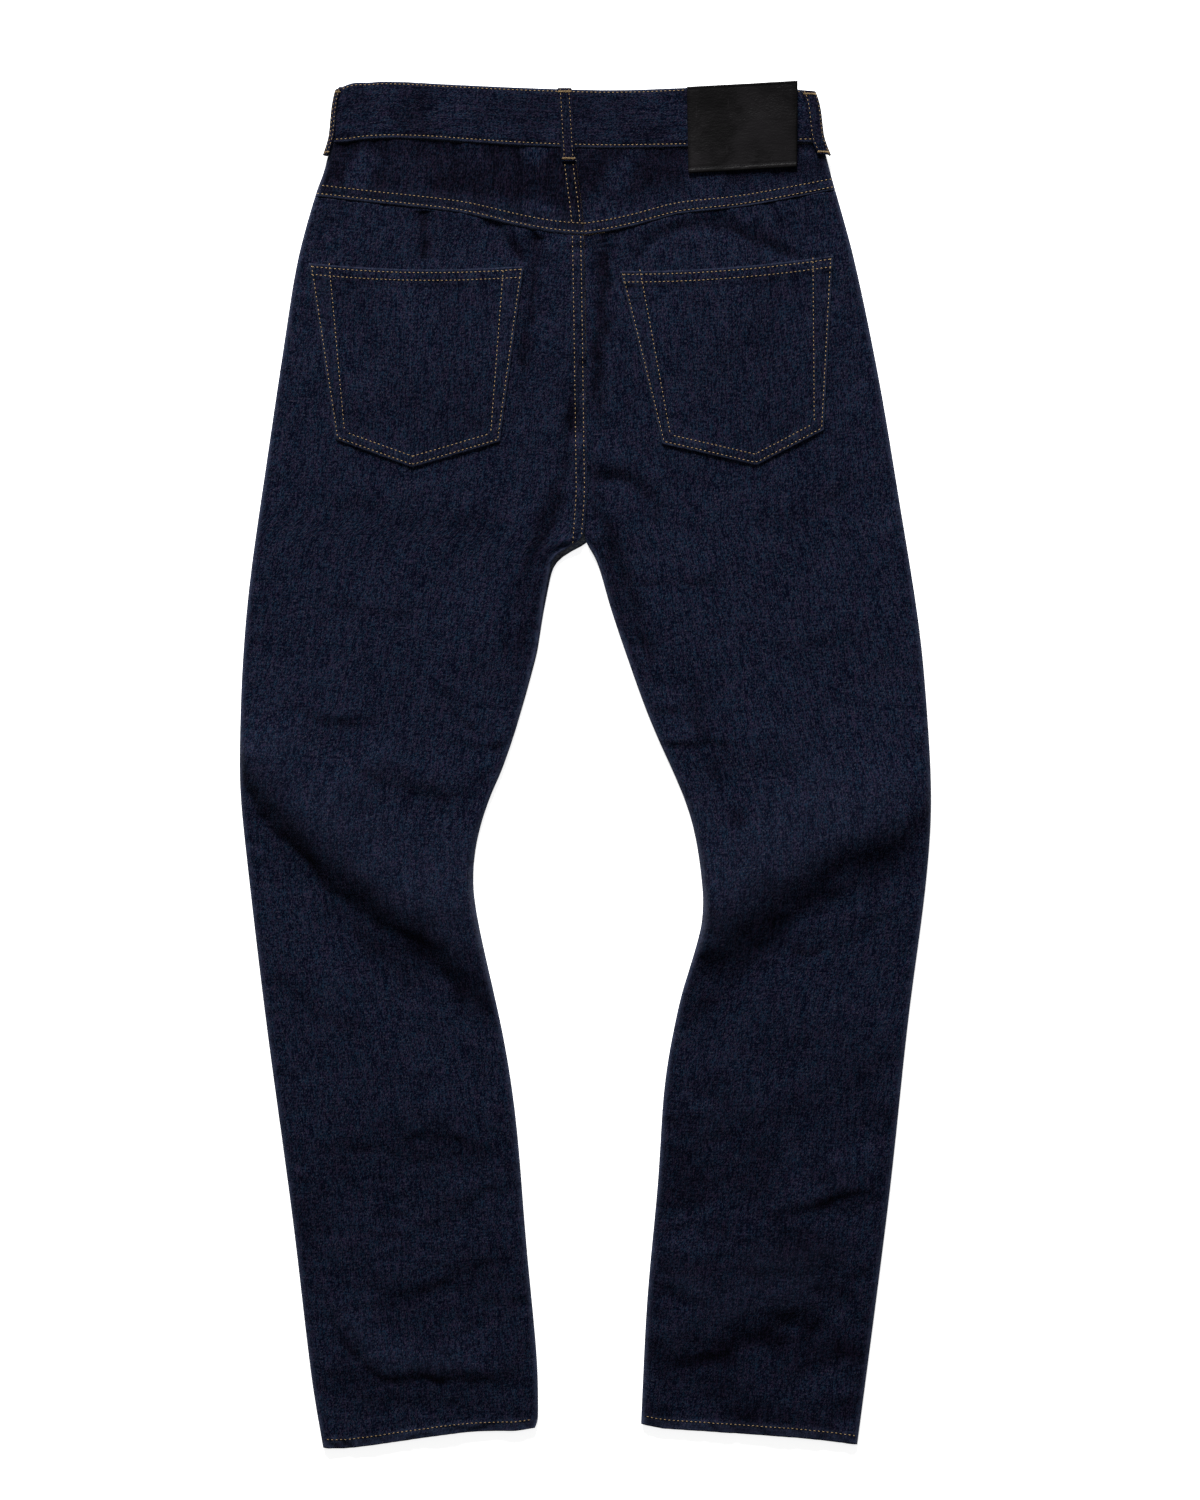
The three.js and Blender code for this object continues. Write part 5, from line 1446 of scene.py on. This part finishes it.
def leather_patch(context):
    """The leather patch, folded under at its foot."""
    cloth = Cloth(Outline("patch"), (1.8, 1.8))
    cloth.lie_on(node_tree("patch"), margin=1.2, spread=1.4)
    relief = 1.7 * cloth.mottle(46, 40, 131.0) + 0.4 * cloth.mottle(9, 12, 133.0)
    sides = np.minimum(cloth.from_left, cloth.from_right)
    relief += 0.35 * (1 - smooth(cloth.from_foot, 3.0, 4.0)) + groove(cloth.from_foot, PATCH_ROW, 0.5, 0.7)
    relief += groove(np.minimum(sides, cloth.from_top), 2.2, 0.2, 0.8)
    cloth.z += np.maximum(relief, -0.6)
    cloth.lap_all_round(0.7, 1.0)
    edge = np.minimum(sides, np.minimum(cloth.from_top, cloth.from_foot))
    # paler along the edges from abrasion, and a painted highlight towards the lower left corner
    worn = 0.3 * bell(edge, 1.2) + 0.55 * smooth(1 - cloth.u + cloth.v, 1.35, 2.0)
    # painted shade towards the upper right corner, and darker along the edges
    dyed = 0.8 * smooth(1 - cloth.v + cloth.u, 1.1, 1.8) + 0.8 * bell(edge, 2.0)
    leather = leather_material("black leather", context.scene.jeans_cloth.leather)
    piece = make_cloth("patch_leather", cloth, 1.45, [leather, leather], worn=worn, dyed=dyed)
    keep(piece, "patch", cloth)


def declare_cloth():
    """Works out the size and the area that each sheet of cloth was cut to."""
    for node, piece in PIECES.items():
        grid = PANELS[node]
        if grid is None:
            cut = sorted(np.ptp([tuple(v.co) for v in piece.data.vertices], axis=0))[1:]
            area = 0.85 * cut[0] * cut[1]
        elif node == "waistband":
            cut = (grid.along.max() * MM, grid.from_top.max() * MM)
            area = cut[0] * cut[1]
        else:
            cut = (grid.widths.max() * MM, max(grid.outline.length * MM, np.ptp(grid.y) * MM))
            across = (grid.widths[1:, 0] + grid.widths[:-1, 0]) / 2
            length = (plan_length(grid.outline.left) + plan_length(grid.outline.right)) / 2
            area = (across * np.diff(grid.v[:, 0])).sum() * length * MM * MM
        if node.startswith("pocket_facing"):
            area *= 0.6  # it is cut to a curve


# ---------------------------------------------------------------- operators


class JEANS_OT_legs(Operator):
    """Make the back legs, with their folds, and the front legs under them"""

    bl_idname = "jeans.legs"
    bl_label = "Legs"

    def execute(self, context):
        for side in SIDES:
            back_leg(context, side)
            front_leg(context, side)
        return {"FINISHED"}


class JEANS_OT_yokes(Operator):
    """Make the yokes between the waistband and the back legs"""

    bl_idname = "jeans.yokes"
    bl_label = "Yokes"

    def execute(self, context):
        for side in SIDES:
            yoke(context, side)
        return {"FINISHED"}


class JEANS_OT_pockets(Operator):
    """Make the back pockets and the facings of the front pockets"""

    bl_idname = "jeans.pockets"
    bl_label = "Pockets"

    def execute(self, context):
        for side in SIDES:
            back_pocket(context, side)
            small_piece(context, f"pocket_facing_{side}")
        return {"FINISHED"}


class JEANS_OT_waistband(Operator):
    """Make the waistband and its belt loops"""

    bl_idname = "jeans.waistband"
    bl_label = "Waistband and belt loops"

    def execute(self, context):
        waistband(context)
        for name in sorted(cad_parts):
            if name.startswith("belt_loop"):
                small_piece(context, name)
        return {"FINISHED"}


class JEANS_OT_patch(Operator):
    """Make the leather patch over the waistband"""

    bl_idname = "jeans.patch"
    bl_label = "Leather patch"

    def execute(self, context):
        leather_patch(context)
        return {"FINISHED"}


class JEANS_OT_fastenings(Operator):
    """Give the button and the zip their metal"""

    bl_idname = "jeans.fastenings"
    bl_label = "Button and zip"

    def execute(self, context):
        brass = metal_material("old brass", context.scene.jeans_cloth.brass, 0.34)
        for name in ("waist_button", "fly_zip"):
            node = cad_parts[name]
            for slot in node.material_slots:
                slot.material = brass
        return {"FINISHED"}


class JEANS_OT_stitching(Operator):
    """Sew the rows of gold stitches and the bar tacks"""

    bl_idname = "jeans.stitching"
    bl_label = "Stitching"

    def execute(self, context):
        sew_seat(context)
        sew_pockets(context)
        sew_waistband(context)
        sew_patch(context)
        sew_hems(context)
        sew_front(context)
        return {"FINISHED"}


class JEANS_OT_stage(Operator):
    """Make the floor, the soft light and the camera"""

    bl_idname = "jeans.stage"
    bl_label = "Floor, light and camera"

    def execute(self, context):
        make_stage(context)
        return {"FINISHED"}


# ---------------------------------------------------------------- sewing


def edge_line(panel, edge, inset, start=0.0, end=1.0, count=200):
    """A line in the plan beside a panel's edge, from one share of it to another."""
    share = np.linspace(start, end, count)
    line = panel.outline.along(edge, share)
    way = 1 if edge in ("left", "foot") else -1
    if callable(inset):
        inset = inset(share)
    return beside(eased(line[:, :2], 4), way * np.broadcast_to(inset, share.shape))


def loop_rows(rows, node, inset, **given):
    """A row down each side of a belt loop."""
    loop = Outline(node)
    for edge, way in (("left", 1), ("right", -1)):
        rows.row(beside(eased(getattr(loop, edge)[:, :2], 4), way * inset), **given)


FLAT_ROW = {"thick": 0.2, "lift": 0.03}  # a row on the side that lies down


def sew_seat(context):
    """Twin rows along the yokes' lower edges and down the seat seam to the crotch."""
    seams = Stitching(piece_tree("yoke_left", "yoke_right", "back_leg_left", "back_leg_right"))
    for side in SIDES:
        ends = (0.004, 1.0) if side == "left" else (0.0, 0.996)
        for number, inset in enumerate(SEAM_ROWS):
            seams.row(edge_line(PANELS[f"yoke_{side}"], "foot", inset, *ends), seed=number + 1)
    turning = 0.236  # where the seam's edge starts to turn into the inseam
    for number, inset in enumerate(SEAM_ROWS):
        seams.row(edge_line(PANELS["yoke_left"], "right", inset, 0.0, 0.86), 3.6, seed=number + 3)
        line = edge_line(PANELS["back_leg_left"], "right", inset, 0.0, turning)
        run = line[-1] - line[-12]
        straight = line[-1] + run / np.linalg.norm(run) * np.linspace(0.1, 26, 40)[:, None]
        seams.row(np.concatenate([line, straight]), 3.6, seed=number + 5)
    seams.piece("seat_stitching", threads(context))


def sew_pockets(context):
    """The rows and bar tacks of the back pockets."""
    for side in SIDES:
        name = f"back_pocket_{side}"
        panel = PANELS[name]
        rows = Stitching(piece_tree(name, "back_leg_left", "back_leg_right"))
        for edge in ("left", "right"):
            rows.row(edge_line(panel, edge, POCKET_EDGE_ROW, 0.01, 0.99), seed=1)
            rows.row(edge_line(panel, edge, lambda s: between(POCKET_INNER_ROW, s), 0.01, 0.955), seed=2)
        for part in ((0.008, 0.46), (0.46, 0.992)):
            rows.row(edge_line(panel, "foot", POCKET_EDGE_ROW + 0.2, *part), seed=3)
        for part in ((0.05, 0.46), (0.46, 0.95)):
            rows.row(edge_line(panel, "foot", 8.0, *part), seed=4)
        for inset in POCKET_MOUTH_ROWS:
            rows.row(edge_line(panel, "top", inset, 0.01, 0.99), seed=5)
        rows.piece(f"pocket_stitching_{side}", threads(context))


def sew_waistband(context):
    """The rows along the waistband's edges, and the belt loops' rows and bars."""
    ring = PANELS["waistband"]
    patch = node_mesh("patch")[0]
    rows = Stitching(piece_tree("waistband"))
    for edge, inset, thick in (("top", 1.9, 0.24), ("foot", 2.6, 0.26)):
        line = ring.line(edge, inset)
        for part in (line[line[:, 0] < patch[:, 0].min()], line[line[:, 0] > patch[:, 0].max() - 1]):
            rows.row(part, thick=thick, seed=9)
    rows.piece("waistband_stitching", threads(context))
    loops = [name for name in PIECES if name.startswith("belt_loop")]
    on_loops = Stitching(piece_tree(*loops, "waistband", "yoke_left", "yoke_right"))
    for name in ("belt_loop_side_left", "belt_loop_back", "belt_loop_side_right"):
        c = {corner: place[:2] for corner, place in Outline(name).corners.items()}
        loop_rows(on_loops, name, 2.2 if name == "belt_loop_back" else 1.5, thick=0.18, seed=12)
        for share in (0.05, 0.96):
            a = c["top_left"] * (1 - share) + c["foot_left"] * share
            b = c["top_right"] * (1 - share) + c["foot_right"] * share
            on_loops.bar(a * 0.94 + b * 0.06, a * 0.06 + b * 0.94)
    on_loops.piece("belt_loop_stitching", threads(context))


def sew_patch(context):
    """The dark row through the patch's folded foot."""
    rows = Stitching(piece_tree("patch"))
    rows.row(edge_line(PANELS["patch"], "foot", PATCH_ROW, 0.02, 0.98), pitch=2.6, thick=0.3, seed=31)
    rows.piece("patch_stitching", threads(context, "dark"))


def sew_hems(context):
    """One row round each hem."""
    for half, face in (("back", 1), ("front", -1)):
        rows = Stitching(piece_tree(f"{half}_leg_left", f"{half}_leg_right"), face)
        for side in SIDES:
            line = edge_line(PANELS[f"{half}_leg_{side}"], "foot", HEM_ROW, 0.012, 0.988)
            rows.row(line, seed=21, **(FLAT_ROW if face < 0 else {}))
        rows.piece(f"{half}_hem_stitching", threads(context))


def sew_front(context):
    """The rows of the side that lies down: waistband, loops, pocket mouths, fly and centre seam."""
    rows = Stitching(piece_tree("waistband", "belt_loop_front_left", "belt_loop_front_right"), -1)
    for edge, inset in (("top", 1.9), ("foot", 2.6)):
        for part in Ring.HIDDEN:
            rows.row(PANELS["waistband"].line(edge, inset, part), **FLAT_ROW, seed=33)
    for side in SIDES:
        loop_rows(rows, f"belt_loop_front_{side}", 1.9, **FLAT_ROW, seed=34)
    rows.piece("front_waist_stitching", threads(context))
    rows = Stitching(piece_tree("front_leg_left", "front_leg_right"), -1)
    for side in SIDES:
        panel = PANELS[f"front_leg_{side}"]
        for inset in (2.4, 8.2):
            rows.row(edge_line(panel, outer_side(side)[0], inset, 0.004, 0.075), **FLAT_ROW, seed=35)
    for inset in SEAM_ROWS:
        rows.row(edge_line(PANELS["front_leg_left"], "right", inset, 0.155, 0.285), **FLAT_ROW, seed=36)
    middle = PANELS["front_leg_left"].outline.right[:, 0].max()
    for inset in (0.0, 6.2):
        bend = [(36, 466), (36, 430), (35.5, 396), (34, 368), (27, 346), (15, 331), (3, 322)]
        line = [(middle - x + inset * (x > 20), y + inset * (x < 30)) for x, y in bend]
        rows.row(through(line, 90), **FLAT_ROW, seed=37)
    rows.piece("front_stitching", threads(context))


# ---------------------------------------------------------------- floor, light and camera


LENS, SENSOR = 100, 36  # of the camera, in millimetres
VIEW = 1.0992  # how much of the ground the view takes in, as a share of the jeans' length
OFF_MIDDLE = (0.0114, 0.0118)  # where the camera stands from the jeans' middle, in metres


def make_stage(context):
    """The floor, the room's light, two soft lamps and the camera above."""
    stage = context.scene.jeans_stage
    bpy.ops.mesh.primitive_plane_add(size=60, location=(0, 0, -0.0002))
    floor = context.object
    floor.name = "floor"
    floor.data.materials.append(floor_material("pale floor"))

    world = bpy.data.worlds.new("soft room")
    context.scene.world = world
    world.use_nodes = True
    world.node_tree.nodes["Background"].inputs[0].default_value = (1, 1, 1, 1)
    world.node_tree.nodes["Background"].inputs[1].default_value = stage.room_light

    for name, place, size, power in (
        ("window light", (-0.6, 4.6, 2.45), 1.6, stage.key_light),
        ("overhead light", (0.4, 0.1, 3.6), 2.4, stage.top_light),
    ):
        lamp = bpy.data.lights.new(name, "AREA")
        lamp.shape = "SQUARE"
        lamp.size = size
        lamp.energy = power
        light = bpy.data.objects.new(name, lamp)
        light.location = place
        light.rotation_euler = (-Vector(place)).to_track_quat("-Z", "Y").to_euler()
        context.collection.objects.link(light)

    camera_data = bpy.data.cameras.new("camera")
    camera_data.lens = LENS
    camera_data.sensor_width = SENSOR
    camera_data.clip_end = 50
    camera = bpy.data.objects.new("camera", camera_data)
    low, high = CAD_BOX
    middle = (low + high) / 2
    distance = (high.y - low.y) * VIEW * LENS / SENSOR
    camera.location = (middle.x + OFF_MIDDLE[0], middle.y + OFF_MIDDLE[1], distance)
    context.collection.objects.link(camera)
    context.scene.camera = camera
    context.scene.view_settings.view_transform = "Standard"


# ---------------------------------------------------------------- settings and panel


def colour(name, description, default):
    """A colour of the settings."""
    return FloatVectorProperty(
        name=name, description=description, default=default, size=3, min=0, max=1, subtype="COLOR"
    )


def power(name, description, default):
    """The power of a lamp in the settings."""
    return FloatProperty(
        name=name, description=description, default=default, min=0, max=2000, subtype="POWER", unit="POWER"
    )


class JeansCloth(PropertyGroup):
    """The cloth, the leather and the metal"""

    thickness: FloatProperty(
        name="Cloth thickness",
        description="Thickness of one layer of denim",
        default=0.0012,
        min=0.0005,
        max=0.003,
        subtype="DISTANCE",
        unit="LENGTH",
    )
    indigo: colour("Indigo", "The dyed side of the denim", (0.0028, 0.0060, 0.0150))
    fleck: colour("Flecks", "The weft that shows between the dyed yarns", (0.03, 0.031, 0.042))
    # Also the colour of the painted highlight along the rolled edges.
    rubbed: colour("Rubbed edge", "The denim where the dye has worn off", (0.034, 0.042, 0.075))
    wrong_side: colour("Wrong side", "The undyed side of the denim", (0.17, 0.18, 0.2))
    leather: colour("Leather", "The patch", (0.0046, 0.0042, 0.0046))
    brass: colour("Brass", "The button and the zip", (0.42, 0.3, 0.16))


class JeansThread(PropertyGroup):
    """The sewing threads"""

    gold: colour("Gold thread", "The topstitching", (0.37, 0.253, 0.124))
    # painted shade: the colour of the stubs that stand for the shade where the thread goes into the cloth
    dips: colour("Needle dips", "The dark dips between two stitches", (0.0012, 0.0014, 0.003))
    dark: colour("Dark thread", "The stitching of the patch", (0.012, 0.012, 0.013))


class JeansStage(PropertyGroup):
    """The light on the jeans"""

    key_light: power("Window light", "Power of the soft light from the waist's side", 640)
    top_light: power("Overhead light", "Power of the soft light above", 10)
    room_light: FloatProperty(
        name="Room light", description="Strength of the light from all round", default=0.17, min=0, max=5
    )


OPERATORS = (
    JEANS_OT_legs,
    JEANS_OT_yokes,
    JEANS_OT_pockets,
    JEANS_OT_waistband,
    JEANS_OT_patch,
    JEANS_OT_fastenings,
    JEANS_OT_stitching,
    JEANS_OT_stage,
)
SETTINGS = {"jeans_cloth": JeansCloth, "jeans_thread": JeansThread, "jeans_stage": JeansStage}


class JEANS_PT_panel(Panel):
    """Lists the steps and the settings"""

    bl_idname = "JEANS_PT_panel"
    bl_label = "Slim fit jeans"
    bl_space_type = "VIEW_3D"
    bl_region_type = "UI"
    bl_category = "Jeans"

    def draw(self, context):
        for settings, group in SETTINGS.items():
            box = self.layout.box()
            for name in group.__annotations__:
                box.prop(getattr(context.scene, settings), name)
        for operator in OPERATORS:
            self.layout.operator(operator.bl_idname)


CLASSES = (*SETTINGS.values(), *OPERATORS, JEANS_PT_panel)


def register():
    for made in CLASSES:
        bpy.utils.register_class(made)
    for name, group in SETTINGS.items():
        setattr(bpy.types.Scene, name, PointerProperty(type=group))


def unregister():
    for name in SETTINGS:
        delattr(bpy.types.Scene, name)
    for made in reversed(CLASSES):
        bpy.utils.unregister_class(made)


def main():
    register()
    for operator in OPERATORS:
        family, name = operator.bl_idname.split(".")
        getattr(getattr(bpy.ops, family), name)()
    declare_cloth()


if __name__ == "__main__":
    main()
